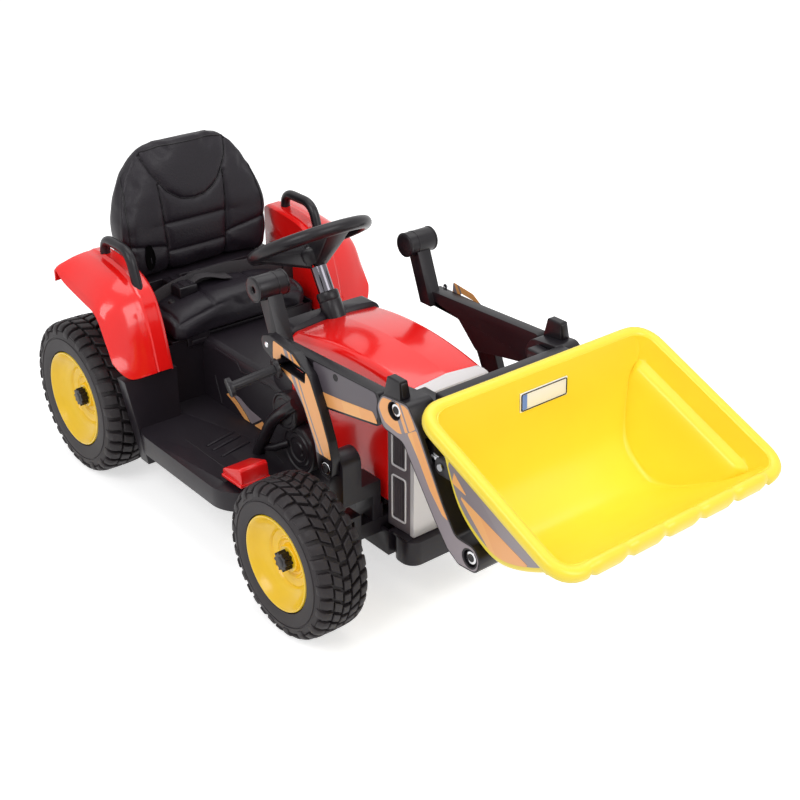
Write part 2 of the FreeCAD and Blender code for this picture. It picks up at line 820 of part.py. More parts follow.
def backrest_section(z, half, rear, front, crown):
    """One cross section of the backrest: flat behind, bulged sides and a crowned front."""
    rear_half = half - side_bulge
    middle = (front + rear) / 2
    points = [vec(rear, -rear_half, z), vec(rear, rear_half, z), vec(front, half, z), vec(front, -half, z)]
    edges = [Part.LineSegment(points[0], points[1]).toShape(),
             Part.Arc(points[1], vec(middle, half + side_bulge, z), points[2]).toShape(),
             Part.Arc(points[2], vec(front + crown, 0, z), points[3]).toShape(),
             Part.Arc(points[3], vec(middle, -half - side_bulge, z), points[0]).toShape()]
    return Part.Wire(edges)


def backrest_cushion():
    rise = backrest_top - backrest_bottom
    depth = backrest_front - backrest_crown - backrest_rear
    rows = []
    for i, share in enumerate(backrest_rise_shares):
        z = backrest_bottom + share * rise
        half = backrest_half * backrest_width_shares[i] - side_bulge
        rear = backrest_rear + backrest_rear_shares[i] * depth
        front = backrest_front - backrest_crown - backrest_front_shares[i] * depth
        if share in backrest_channel_shares:
            rows.append((z - channel_half, half, rear, front, backrest_crown))
            rows.append((z, half, rear, front, backrest_crown - backrest_channel))
            rows.append((z + channel_half, half, rear, front, backrest_crown))
        else:
            rows.append((z, half, rear, front, backrest_crown))
    return Part.makeLoft([backrest_section(*row) for row in rows], True, True)


def seat_shell():
    base = pedestal_top + seam
    pan = box(pedestal_rear, seat_front - cushion_edge / 2, -seat_half + side_bulge, seat_half - side_bulge,
              base, base + shell_thickness)
    back_front = backrest_rear - seam
    half = backrest_half - side_bulge
    shoulder = backrest_top - cushion_edge
    top_half = half - cushion_edge
    corners = [vec(back_front, -half, base), vec(back_front, half, base),
               vec(back_front, top_half, shoulder), vec(back_front, -top_half, shoulder)]
    face = Part.Face(rounded_wire(corners, [0, 0, cushion_edge, cushion_edge]))
    back = face.extrude(vec(-shell_thickness, 0, 0))
    pad_rear = box(back_front - overrun, seat_rear - seam, -half, half, base, backrest_bottom - seam)
    return joined([pan, back, pad_rear])


def under_belt(gap, rear, width):
    half = seat_half + seam
    edge = cushion_top - cushion_edge / 2
    low = edge - belt_drop
    left = vec(rear, -half - gap, low)
    right = vec(rear, half + gap, low)
    left_top = vec(rear, -half - gap, edge)
    right_top = vec(rear, half + gap, edge)
    wire = Part.Wire([Part.LineSegment(left, right).toShape(),
                      Part.LineSegment(right, right_top).toShape(),
                      Part.Arc(right_top, vec(rear, 0, cushion_top + gap), left_top).toShape(),
                      Part.LineSegment(left_top, left).toShape()])
    return Part.Face(wire).extrude(vec(width, 0, 0))


def seat_belt():
    lift = 2 * seam
    outer = under_belt(belt_thickness + lift, belt_rear, belt_width)
    return outer.cut(under_belt(lift, belt_rear, belt_width))


def belt_buckle():
    rear = belt_rear - buckle_overhang
    front = belt_rear + belt_width + buckle_overhang
    gap = belt_thickness + 3 * seam
    block = box(rear, front, -buckle_side - buckle_length / 2, -buckle_side + buckle_length / 2,
                cushion_top - cushion_edge, cushion_top + gap + buckle_height)
    return block.cut(under_belt(gap, rear - overrun, front - rear + 2 * overrun))


def hood_half(x):
    share = (x - hood_rear) / (hood_front - hood_rear)
    return hood_rear_half + share * (hood_front_half - hood_rear_half)


def hood_section(x, bulge, inset):
    half = hood_half(x)
    top = hood_top + bulge - inset
    narrow = half * hood_rise_share
    points = [vec(x, -half + inset, hood_edge), vec(x, -narrow + inset, top - hood_crown), vec(x, 0, top),
              vec(x, narrow - inset, top - hood_crown), vec(x, half - inset, hood_edge)]
    return rounded_wire(points, [0, hood_round - inset, hood_round, hood_round - inset, 0])


def hood_form(rear, front, inset):
    middle = hood_rear + hood_bulge_share * (hood_front - hood_rear)
    rows = [(rear, 0), (middle, hood_bulge), (front, 0)]
    return Part.makeLoft([hood_section(x, bulge, inset) for x, bulge in rows], True, False)


def hood_shell():
    front = hood_front - skin
    below = box(hood_rear - overrun, front, -hood_front_half + skin, hood_front_half - skin,
                hood_edge - overrun, hood_edge + skin)
    shell = hood_form(hood_rear, hood_front, 0).cut(hood_form(hood_rear - overrun, front, skin))
    return shell.cut(below).cut(column_hole(shaft_radius + overrun))


def hood_side():
    rear = hood_half(hood_rear)
    front = hood_half(side_front)
    points = [(hood_rear, -rear), (side_front, -front), (side_front, -front + skin),
              (hood_rear, -rear + skin)]
    return plan(points, 0, side_bottom + seam, hood_edge - seam)


def grille():
    rear = side_front + seam
    outer = [(rear, -hood_half(rear)), (grille_front, -hood_half(grille_front))]
    points = outer + [(grille_front, -hood_half(grille_front) + grille_thickness),
                      (rear, -hood_half(rear) + grille_thickness)]
    frame = plan(points, 0, grille_bottom + seam, hood_edge - seam)
    height = hood_edge - grille_bottom - (vent_count + 1) * vent_gap
    each = height / vent_count
    for i in range(vent_count):
        low = grille_bottom + vent_gap + i * (each + vent_gap)
        x0 = rear + vent_margin
        x1 = grille_front - vent_margin
        half0 = hood_half(x0)
        half1 = hood_half(x1)
        vent = [(x0, -half0 - overrun), (x1, -half1 - overrun), (x1, -half1 + vent_depth),
                (x0, -half0 + vent_depth)]
        frame = frame.cut(plan(vent, 0, low, low + each))
    return frame


def nose_panel():
    half = hood_half(grille_front)
    front = box(grille_front + seam, nose_front, -half, half, grille_bottom + seam, grille_top)
    lip = Part.Face(hood_section(hood_front + seam, 0, 0)).extrude(vec(nose_front - hood_front - seam, 0, 0))
    above = [(hood_front - overrun, hood_top + overrun), (nose_front + overrun, hood_top + overrun),
             (nose_front + overrun, hood_top - nose_slope)]
    lip = lip.cut(slab(above, 0, -half - overrun, half + overrun))
    tie = box(grille_front - nose_lip, grille_front + overrun, -half + grille_thickness + seam,
              half - grille_thickness - seam, grille_top - nose_lip - wall, hood_edge - overrun)
    return joined([front, lip, tie])


def front_bumper():
    corner = bumper_half / 4
    points = [(tray_front + seam, -bumper_half), (bumper_front, -bumper_half),
              (bumper_front, bumper_half), (tray_front + seam, bumper_half)]
    block = plan(points, corner, tray_bottom, bumper_top)
    rise = box(tray_front + seam, nose_front, -tray_half + wall, tray_half - wall,
               bumper_top - overrun, grille_bottom)
    return joined([block, rise])


def cowl_corners(inset):
    """What is cut from the cowl above the hood's edge, so that its shoulders follow the hood's."""
    length = hood_rear - cowl_rear + 2 * overrun
    hump = Part.Face(hood_section(hood_rear, cowl_top - hood_top, inset)).extrude(vec(-length, 0, 0))
    above = box(cowl_rear - overrun, hood_rear, -hood_rear_half - overrun, hood_rear_half + overrun,
                hood_edge, cowl_top + overrun)
    return above.cut(hump)


def dash_cowl():
    half = hood_rear_half
    low = pedestal_top + seam
    front = hood_rear - seam
    outer = [(cowl_rear, low), (cowl_rear + cowl_round, cowl_top), (front, cowl_top), (front, low)]
    outside = slab(outer, cowl_round, -half, half).cut(cowl_corners(0))
    inner = [(cowl_rear + wall, pedestal_top), (cowl_rear + cowl_round + wall, cowl_top - wall),
             (front - wall, cowl_top - wall), (front - wall, pedestal_top)]
    inside = slab(inner, 0, -half + wall, half - wall).cut(cowl_corners(wall))
    shell = outside.cut(inside).cut(column_hole(collar_radius + seam))
    for side in (-1, 1):
        shell = shell.cut(control_axis_hole(side))
    return shell


def dash_point(height):
    """A point on the sloped rear face of the cowl and that face's outward direction."""
    low = vec(cowl_rear, 0, pedestal_top + seam)
    high = vec(cowl_rear + cowl_round, 0, cowl_top)
    up = high - low
    outward = vec(-up.z, 0, up.x).normalize()
    return low + up * ((height - low.z) / up.z), outward, up.normalize()


def control_axis_hole(side):
    point, outward, up = dash_point(control_height)
    centre = point + vec(0, side * control_side, 0)
    if side < 0:
        return rod(centre - outward * (wall + overrun), centre + outward * overrun, button_radius + seam)
    half = rocker_length / 2 + seam + seam
    corners = [centre + up * half + y_axis * (rocker_width / 2 + seam),
               centre + up * half - y_axis * (rocker_width / 2 + seam),
               centre - up * half - y_axis * (rocker_width / 2 + seam),
               centre - up * half + y_axis * (rocker_width / 2 + seam)]
    face = Part.Face(Part.makePolygon([c - outward * (wall + overrun) for c in corners + corners[:1]]))
    return face.extrude(outward * (wall + 2 * overrun))


def power_button():
    point, outward, up = dash_point(control_height)
    centre = point + vec(0, -control_side, 0)
    return rod(centre - outward * (wall + button_stem), centre + outward * button_height, button_radius)


def direction_switch():
    point, outward, up = dash_point(control_height)
    centre = point + vec(0, control_side, 0)
    end = up * (rocker_length / 2)
    back = outward * (rocker_depth / 2)
    face = outward * (rocker_height / 3)
    corners = [centre - end - back, centre - back - back, centre + end - back, centre + end + face,
               centre + outward * (rocker_height / 2), centre - end + face]
    profile = Part.Face(Part.makePolygon([c - y_axis * (rocker_width / 2) for c in corners + corners[:1]]))
    return profile.extrude(y_axis * rocker_width)


def engine_mouldings():
    inner = hood_rear_half + seam
    pulley = across(pulley_x, pulley_z, -engine_outer, -inner, pulley_radius)
    drum = across(drum_x, drum_z, -engine_outer + wall, -inner, drum_radius)
    pipe_start = vec(pulley_x, -engine_outer + pipe_radius + overrun, pulley_z)
    pipe_end = vec(pulley_x - drum_radius, pipe_start.y, platform_top + 2 * pipe_radius)
    pipe = rod(pipe_start, pipe_end, pipe_radius)
    moulding = joined([pulley, drum, pipe])
    return Part.makeCompound([moulding, mirrored(moulding)])


def pedal_hinge():
    return pedal_rear + pedal_pin_radius, platform_top + hinge_pad + pedal_pin_radius


def pedal():
    base = platform_top + pedal_clearance
    points = [(pedal_rear, base), (pedal_rear, base + pedal_rear_height),
              (pedal_front - pedal_clearance, base + pedal_front_height),
              (pedal_front, base + pedal_rear_height), (pedal_front, base + pedal_clearance)]
    plate = slab(points, pedal_pin_radius, -pedal_outer, -pedal_inner)
    x, z = pedal_hinge()
    foot = pedal_pin_radius - seam
    hinge = across(x, z, -pedal_outer, -pedal_inner, foot)
    web = box(x - foot, x + foot, -pedal_outer, -pedal_inner, z, base + pedal_pin_radius)
    return joined([plate, hinge, web])


def gear_motors():
    shapes = []
    outer = pedestal_half - wall - seam
    half = gearbox_size / 2
    rear = rear_axle_x - half
    front = rear_axle_x + half
    can_z = rear_tyre_radius + half / 2
    for side in (-1, 1):
        y0, y1 = sorted((side * (outer - motor_width), side * outer))
        middle = (y0 + y1) / 2
        case = box(rear, front, y0, y1, tray_bottom + wall, rear_tyre_radius + half)
        can = rod(vec(rear_axle_x, middle, can_z), vec(front + motor_length, middle, can_z), motor_radius)
        bore = across(rear_axle_x, rear_tyre_radius, y0 - overrun, y1 + overrun, axle_radius + running_fit)
        shapes.append(joined([case, can]).cut(bore))
    return Part.makeCompound(shapes)


def battery():
    floor = tray_bottom + wall
    half = battery_width / 2
    rear = rear_axle_x + axle_radius + wall
    return box(rear, rear + battery_length, -half, half, floor, floor + battery_height)


def control_box():
    floor = tray_bottom + wall
    half = control_depth / 2
    front = rear_axle_x - axle_radius - wall
    return box(front - control_length, front, -half, half, floor, floor + control_box_height)


def tower_points():
    return spread(tower_shares, (lift_x, lift_z), (tower_reach, tower_rise))


def tower(slotted):
    y0 = -tower_outer - overrun
    y1 = -tower_inner + overrun
    plate = slab(tower_points(), tower_round, -tower_outer, -tower_inner)
    plate = plate.cut(across(lift_x, lift_z, y0, y1, bolt_radius + running_fit))
    plate = plate.cut(across(lift_x, lift_z, y0, -tower_outer + bolt_head_height, bolt_recess))
    if slotted:
        return plate.cut(slot(slot_x, slot_z, slot_end_x, slot_end_z, slot_half, y0, y1))
    bounds = plate.BoundBox
    return plate.cut(box(bounds.XMin, bounds.XMax, y0, y1, tower_left_top, bounds.ZMax + overrun))


def arm_points():
    return spread(arm_shares, (pivot_x, pivot_z), (arm_reach, arm_rise))


def tilt_pin():
    """The pin on the bucket's back that the tilt rod pushes."""
    back = bucket_point(bucket_shares[1][0], bucket_shares[1][1])
    return back.x - tilt_lug_reach, back.z


def rod_channel():
    """The way through boom and arm that the tilt rod sweeps."""
    half = rod_eye_width / 2 + seam
    pin_x, pin_z = tilt_pin()
    start = slot_x - rod_eye_radius - overrun
    reach = rod_eye_radius + overrun
    points = [(start, slot_z - reach), (start, slot_z + reach), (pin_x, pin_z + rod_swing + 2 * rod_radius),
              (pin_x, pin_z - 2 * rod_radius - overrun)]
    return slab(points, 0, -boom_mid - half, -boom_mid + half)


def boom(slotted, arm):
    beam = slab(spread(boom_shares, (boom_rear, boom_base), (boom_length, boom_height)), boom_round,
                -boom_outer, -boom_inner)
    grip_half = grip_length / 2
    grip = across(grip_x, grip_z, -grip_y - grip_half, -grip_y + grip_half, grip_radius + seam)
    half = post_width / 2
    post_y = grip_y + post_thickness / 2
    foot_z = boom_base + boom_shares[0][1] * boom_height
    post = slab([(post_foot_x - half, foot_z), (grip_x - half, grip_z), (grip_x + half, grip_z),
                 (post_foot_x + half, foot_z)], 0, -post_y, -post_y + post_thickness)
    beam = joined([beam, post]).cut(grip).cut(arm)
    if slotted:
        window = slot(slot_x, slot_z, slot_end_x, slot_end_z, slot_half, -boom_outer - overrun, -boom_mid)
        beam = beam.cut(rod_channel()).cut(window)
    return max(beam.Solids, key=lambda solid: solid.Volume)


def elbow():
    return pivot_x + elbow_share[0] * arm_reach, pivot_z + elbow_share[1] * arm_rise


def front_arm(slotted):
    y0 = -boom_outer - overrun
    plate = slab(arm_points(), arm_round, -boom_outer, -arm_inner)
    for x, z in ((pivot_x, pivot_z), elbow()):
        plate = plate.cut(across(x, z, y0, -arm_inner + overrun, bolt_radius + running_fit))
        plate = plate.cut(across(x, z, y0, -boom_outer + bolt_head_height + overrun, bolt_recess))
    if slotted:
        plate = plate.cut(rod_channel())
    return max(plate.Solids, key=lambda solid: solid.Volume)


def cross_member():
    x, z = elbow()
    bar = box(cross_x - cross_depth / 2, cross_x + cross_depth / 2, -arm_inner + seam, arm_inner - seam,
              cross_top - cross_height, cross_top)
    ends = []
    for side in (-1, 1):
        y = sorted((side * (arm_inner - cross_depth), side * (arm_inner - seam)))
        ends.append(box(x - bolt_recess, cross_x, y[0], y[1], z - bolt_recess, z + bolt_recess))
    return joined([bar] + ends)


def handle_grips():
    half = grip_length / 2
    grip = across(grip_x, grip_z, -grip_y - half, -grip_y + half, grip_radius)
    grip = grip.cut(across(grip_x, grip_z, -grip_y - half - overrun, -grip_y - half + grip_radius, grip_bore))
    return Part.makeCompound([grip, mirrored(grip)])


def bumper_row(z, share):
    """The outline of a boom bumper at one height."""
    long = share * bumper_length / 2
    half = share * bumper_width / 2
    corners = [vec(bumper_x - long, -boom_mid - half, z), vec(bumper_x + long, -boom_mid - half, z),
               vec(bumper_x + long, -boom_mid + half, z), vec(bumper_x - long, -boom_mid + half, z)]
    return Part.makePolygon(corners + corners[:1])


def boom_bumpers():
    low = boom_base + boom_height * boom_shares[3][1]
    high = low + bumper_height
    knob = Part.makeLoft([bumper_row(low, 1), bumper_row(high, bumper_top_share)], True, True)
    knob = knob.makeFillet(bumper_width / 8, [e for e in knob.Edges if e.BoundBox.ZMin > high - overrun])
    knob = knob.cut(front_arm(False)).cut(boom(False, front_arm(False)))
    knob = max(knob.Solids, key=lambda solid: solid.Volume)
    return Part.makeCompound([knob, mirrored(knob)])


def bolt(x, z, outer, inner):
    head = across(x, z, -outer, -outer + bolt_head_height - seam, bolt_head)
    return joined([head, across(x, z, -outer, -inner, bolt_radius)])


def loader_bolts():
    x, z = elbow()
    outer = boom_outer - overrun
    shapes = [bolt(x, z, outer, arm_inner), bolt(pivot_x, pivot_z, outer, lug_inner)]
    return Part.makeCompound(shapes + [mirrored(s) for s in shapes])


def pivot_pins():
    top = knuckle_height / 2 + yoke_gap + yoke_thickness
    king = upright(front_axle_x, -kingpin_y, front_tyre_radius - top, front_tyre_radius + top, kingpin_radius)
    lift = bolt(lift_x, lift_z, tower_outer, post_inner)
    shapes = [king, lift]
    return Part.makeCompound(shapes + [mirrored(s) for s in shapes])


def bucket_point(along_share, deep_share, y=0):
    """A place in the bucket's rim frame, set in the machine's frame."""
    along = along_share * bucket_length
    deep = deep_share * bucket_depth
    x = bucket_back_x + along * math.cos(pitch) + deep * math.sin(pitch)
    z = bucket_back_z - along * math.sin(pitch) + deep * math.cos(pitch)
    return vec(x, y, z)


def set_in_machine(shape):
    shape = shape.copy()
    shape.rotate(vec(0, 0, 0), y_axis, bucket_pitch)
    return shape.translated(vec(bucket_back_x, 0, bucket_back_z))


def bowl_points(inset):
    """The bowl's side outline in its rim frame, drawn in by an inset and carried past the rim."""
    points = spread(bucket_shares, (0, 0), (bucket_length, bucket_depth))
    shrink = 1 - 2 * inset / bucket_length
    points = [(inset + x * shrink, z * (1 - inset / bucket_depth)) for x, z in points]
    top = overrun if inset else 0
    return [(points[0][0], top)] + points[1:-1] + [(points[-1][0], top)]


def bucket_bowl(inset):
    points = bowl_points(inset)
    top = points[0][1]
    radii = [0] + [bucket_round] * (len(points) - 2) + [0]
    outline = rounded_wire([vec(x, -bucket_half, z) for x, z in points], radii)
    body = Part.Face(outline).extrude(vec(0, 2 * bucket_half, 0))
    wide = bucket_half - inset
    narrow = bucket_floor_half - inset
    slope = (wide - narrow) / bucket_depth
    lift = top * slope
    corners = [vec(-bucket_rim, -wide - lift, top), vec(-bucket_rim, wide + lift, top),
               vec(-bucket_rim, narrow, -bucket_depth), vec(-bucket_rim, -narrow, -bucket_depth)]
    wedge = Part.Face(rounded_wire(corners, [0, 0, bucket_round, bucket_round]))
    return body.common(wedge.extrude(vec(bucket_length + 2 * bucket_rim, 0, 0)))


def bucket_teeth():
    """Scallops under the lip, kept inside the bowl's outer form and below the rim."""
    spacing = 2 * bucket_floor_half / tooth_count
    end = bucket_length + bucket_rim - tooth_radius / 2
    half = bucket_half + bucket_rim
    above = box(-bucket_rim, bucket_length + 2 * bucket_rim, -half, half, 0, bucket_depth)
    teeth = []
    for i in range(tooth_count):
        y = (i - (tooth_count - 1) / 2) * spacing
        tooth = rod(vec(end - tooth_length, y, -tooth_radius), vec(end, y, -tooth_radius / 2), tooth_radius)
        teeth.append(tooth.common(bucket_bowl(0)).cut(above))
    return teeth


def pivot_lugs():
    floor = bucket_point(bucket_shares[3][0], bucket_shares[3][1])
    bore = across(pivot_x, pivot_z, -bucket_half, bucket_half, bolt_radius + running_fit)
    points = [(pivot_x - lug_radius, pivot_z), (pivot_x + lug_radius, pivot_z), (floor.x, floor.z + wall),
              (pivot_x - lug_radius, floor.z + lug_radius)]
    lugs = []
    for side in (-1, 1):
        y0, y1 = sorted((side * lug_inner, side * lug_outer))
        eye = across(pivot_x, pivot_z, y0, y1, lug_radius)
        lugs.append(joined([eye, slab(points, 0, y0, y1)]).cut(bore))
    return lugs


def tilt_clevis():
    """Two cheeks and a pin on the bucket's back for the tilt rod's eye."""
    pin_x, pin_z = tilt_pin()
    rear = pin_x - clevis_half
    front = pin_x + tilt_lug_reach + wall
    points = [(rear, pin_z - clevis_half), (front, pin_z - clevis_half), (front, pin_z + clevis_half),
              (rear, pin_z + clevis_half)]
    inner = rod_eye_width / 2 + seam
    cheeks = []
    for y0 in (-boom_mid - inner - clevis_thickness, -boom_mid + inner):
        cheeks.append(slab(points, clevis_thickness, y0, y0 + clevis_thickness))
    pin = across(pin_x, pin_z, -boom_mid - rod_eye_width, -boom_mid + rod_eye_width, link_pin_radius)
    return cheeks + [pin]


def bucket():
    half = bucket_half + bucket_rim
    end = bucket_length + bucket_rim
    rim = plan([(-bucket_rim, -half), (end, -half), (end, half), (-bucket_rim, half)], rim_corner,
               -bucket_rim_thickness, 0)
    shell = joined([bucket_bowl(0), rim]).cut(bucket_bowl(wall))
    shell = set_in_machine(joined([shell] + bucket_teeth()))
    whole = joined([shell] + pivot_lugs() + tilt_clevis())
    return whole.cut(set_in_machine(bucket_bowl(wall)))


def number_plate():
    (x0, z0), (x1, z1) = bowl_points(wall)[:2]
    down = vec(x1 - x0, 0, z1 - z0).normalize()
    inward = vec(-down.z, 0, down.x)
    start = vec(x0, 0, z0) + down * plate_drop + inward * seam
    corners = [start, start + down * plate_height, start + down * plate_height + inward * plate_thickness,
               start + inward * plate_thickness]
    face = Part.Face(Part.makePolygon([c - y_axis * (plate_width / 2) for c in corners + corners[:1]]))
    return set_in_machine(face.extrude(y_axis * plate_width))


def tilt_handle():
    spindle_end = vec(slot_x, -tower_outer - spool_start - spool_disc_thickness, slot_z)
    spindle = rod(vec(slot_x, -boom_mid + rod_eye_width / 2, slot_z), spindle_end, spindle_radius)
    start = vec(slot_x, -tower_outer - spool_start, slot_z - spool_drop)
    end = start - vec(spool_sweep, spool_length, spool_droop)
    disc = (end - start).normalize() * spool_disc_thickness
    return joined([spindle, rod(start, end, spool_radius), rod(start, start + disc, spool_disc),
                   rod(end - disc, end, spool_disc)])


def tilt_rod():
    pin_x, pin_z = tilt_pin()
    y0 = -boom_mid - rod_eye_width / 2
    y1 = -boom_mid + rod_eye_width / 2
    bar = rod(vec(slot_x, -boom_mid, slot_z), vec(pin_x, -boom_mid, pin_z), rod_radius)
    eyes = [across(slot_x, slot_z, y0, y1, rod_eye_radius), across(pin_x, pin_z, y0, y1, rod_eye_radius)]
    whole = joined([bar] + eyes)
    whole = whole.cut(across(slot_x, slot_z, y0 - overrun, y1 + overrun, spindle_radius + running_fit))
    return whole.cut(across(pin_x, pin_z, y0 - overrun, y1 + overrun, link_pin_radius + link_play))


parts = {}
wheels("rear", rear_tyre_radius, rear_tyre_width, rear_rim_radius, rear_outer, rear_axle_x)
wheels("front", front_tyre_radius, front_tyre_width, front_rim_radius, front_outer, front_axle_x)
parts["rear_axle"] = rear_axle()
parts["front_axle_beam"] = front_beam()
parts["knuckle_right"] = knuckle()
parts["knuckle_left"] = mirrored(parts["knuckle_right"])
parts["tie_rod"] = tie_rod()
parts["steering_shaft"] = steering_shaft()
parts["steering_wheel"] = steering_wheel()
parts["column_sleeve"] = column_sleeve()
parts["body_tub"] = body_tub()
parts["fender_right"] = fender()
parts["fender_left"] = mirrored(parts["fender_right"])
parts["grab_handle_right"] = grab_handle()
parts["grab_handle_left"] = mirrored(parts["grab_handle_right"])
parts["seat_cushion"] = seat_cushion()
parts["backrest_cushion"] = backrest_cushion()
parts["seat_shell"] = seat_shell()
parts["seat_belt"] = seat_belt()
parts["belt_buckle"] = belt_buckle()
parts["hood_top"] = hood_shell()
parts["hood_side_right"] = hood_side()
parts["hood_side_left"] = mirrored(parts["hood_side_right"])
parts["grille_right"] = grille()
parts["grille_left"] = mirrored(parts["grille_right"])
parts["nose_panel"] = nose_panel()
parts["front_bumper"] = front_bumper()
parts["dash_cowl"] = dash_cowl()
parts["engine_mouldings"] = engine_mouldings()
parts["pedal"] = pedal()
parts["power_button"] = power_button()
parts["direction_switch"] = direction_switch()
parts["gear_motors"] = gear_motors()
parts["battery"] = battery()
parts["control_box"] = control_box()
parts["pivot_pins"] = pivot_pins()
parts["tower_right"] = tower(True)
parts["tower_left"] = mirrored(tower(False))
parts["front_arm_right"] = front_arm(True)
parts["front_arm_left"] = mirrored(front_arm(False))
parts["boom_right"] = boom(True, front_arm(False))
parts["boom_left"] = mirrored(boom(False, front_arm(False)))
parts["cross_member"] = cross_member()
parts["handle_grips"] = handle_grips()
parts["boom_bumpers"] = boom_bumpers()
parts["loader_bolts"] = loader_bolts()
parts["bucket"] = bucket()
parts["number_plate"] = number_plate()
parts["tilt_handle"] = tilt_handle()
parts["tilt_rod"] = tilt_rod()

os.makedirs("parts", exist_ok=True)
for name, shape in parts.items():
    shape.exportStep(f"parts/{name}.step")
    print(name, len(shape.Solids), shape.isValid(), round(shape.Volume))
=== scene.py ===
"""Looks of the ride-on toy tractor with a front loader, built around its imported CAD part."""
import json
from math import cos, exp, hypot, pi, radians, sin, sqrt, tau

import bmesh
import bpy
from mathutils import Euler, Matrix, Vector


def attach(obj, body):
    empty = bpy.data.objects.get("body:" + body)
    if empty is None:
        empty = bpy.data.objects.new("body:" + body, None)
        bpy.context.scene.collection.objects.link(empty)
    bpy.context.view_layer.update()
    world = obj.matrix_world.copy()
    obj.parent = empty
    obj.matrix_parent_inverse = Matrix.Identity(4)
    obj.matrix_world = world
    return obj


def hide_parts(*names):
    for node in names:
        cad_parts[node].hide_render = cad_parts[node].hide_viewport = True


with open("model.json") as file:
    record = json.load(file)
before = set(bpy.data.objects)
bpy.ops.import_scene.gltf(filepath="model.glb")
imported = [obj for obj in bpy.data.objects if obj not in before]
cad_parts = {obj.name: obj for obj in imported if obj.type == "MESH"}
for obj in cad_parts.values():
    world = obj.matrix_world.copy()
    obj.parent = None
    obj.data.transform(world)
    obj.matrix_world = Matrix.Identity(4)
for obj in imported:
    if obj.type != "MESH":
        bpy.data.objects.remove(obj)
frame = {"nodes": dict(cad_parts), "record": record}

# Sizes below are in millimetres and the mesh helpers turn them into metres.
MM = 0.001
nodes = frame["nodes"]
scene = bpy.context.scene
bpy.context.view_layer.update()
body_of = {n: b for b, group in frame["record"]["behaviour"]["bodies"].items() for n in group}
# Factor on y for a piece drawn on the right, and the sign of y for one drawn on both sides
MIRRORS = (("right", 1), ("left", -1))
SIDES = (("right", -1), ("left", 1))


# Materials

def linear(red, green, blue):
    """A colour given on the 0 to 255 screen scale, as the linear colour that a shader takes."""
    return tuple((c / 255) ** 2.2 for c in (red, green, blue)) + (1.0,)


def shade(colour, factor):
    return tuple(min(1.0, c * factor) for c in colour[:3]) + (1.0,)


def start(name):
    material = bpy.data.materials.new(name)
    material.use_nodes = True
    tree = material.node_tree
    return material, tree, tree.nodes["Principled BSDF"]


def fill(node, **inputs):
    """Sets a node's inputs, and links those that are given a socket."""
    for key, value in inputs.items():
        socket = node.inputs[key.replace("_", " ")]
        if isinstance(value, bpy.types.NodeSocket):
            node.id_data.links.new(value, socket)
        else:
            socket.default_value = value
    return node


def add(tree, kind, settings=None, **inputs):
    node = tree.nodes.new("ShaderNode" + kind)
    for key, value in (settings or {}).items():
        setattr(node, key, value)
    return fill(node, **inputs)


def mixed(tree, factor, a, b):
    node = add(tree, "Mix", {"data_type": "RGBA"})
    tree.links.new(factor, node.inputs[0])
    node.inputs[6].default_value, node.inputs[7].default_value = a, b
    return node.outputs[2]


def relief(tree, height, strength, depth):
    return add(tree, "Bump", Height=height, Strength=strength, Distance=depth * MM).outputs[0]


def surface(name, screen, rough, grain=600.0, depth=0.15, mottle=0.06, metal=0.0, coat=0.0, cells=False,
            uneven=0.07, shine=0.5):
    """A moulded or painted finish: faint cloudy colour, uneven gloss and a fine grain."""
    colour = linear(*screen)
    material, tree, shader = start(name)
    place = add(tree, "TexCoord").outputs["Object"]
    broad = add(tree, "TexNoise", Vector=place, Scale=16.0, Detail=3.0).outputs[0]
    tint = mixed(tree, broad, shade(colour, 1 - mottle), shade(colour, 1 + mottle))
    wear = add(tree, "MapRange", Value=broad, To_Min=max(0.03, rough - uneven), To_Max=rough + uneven)
    fine = add(tree, "TexVoronoi" if cells else "TexNoise", Vector=place, Scale=grain)
    fill(shader, Base_Color=tint, Roughness=wear.outputs[0], Metallic=metal, Specular_IOR_Level=shine,
         Coat_Weight=coat, Coat_Roughness=0.06, Normal=relief(tree, fine.outputs[0], 0.35, depth))
    return material


def striped(name, colours, stops, scale, wobble, turn):
    """A printed film with plain bands that bend a little."""
    material, tree, shader = start(name)
    place = add(tree, "TexCoord").outputs["Object"]
    mapping = add(tree, "Mapping", Vector=place, Rotation=turn)
    wave = add(tree, "TexWave", {"wave_profile": "SAW"}, Vector=mapping.outputs[0], Scale=scale,
               Distortion=wobble, Detail=1.0, Detail_Scale=0.6)
    ramp = add(tree, "ValToRGB", Fac=wave.outputs[0])
    bands = ramp.color_ramp
    bands.interpolation = "CONSTANT"
    bands.elements[0].color = colours[0]
    bands.elements[1].position = stops[0]
    bands.elements[1].color = colours[1]
    for stop, colour in zip(stops[1:], colours[2:]):
        bands.elements.new(stop).color = colour
    grain = add(tree, "TexNoise", Vector=place, Scale=900.0)
    fill(shader, Base_Color=ramp.outputs[0], Roughness=0.32, Normal=relief(tree, grain.outputs[0], 0.15, 0.05))
    return material


def webbing(name, colour):
    material, tree, shader = start(name)
    place = add(tree, "TexCoord").outputs["Object"]
    weave = add(tree, "TexWave", {"bands_direction": "DIAGONAL"}, Vector=place, Scale=220.0,
                Distortion=0.6).outputs[0]
    tint = mixed(tree, weave, shade(colour, 0.75), shade(colour, 1.25))
    fill(shader, Base_Color=tint, Roughness=0.72, Normal=relief(tree, weave, 0.6, 0.3))
    return material


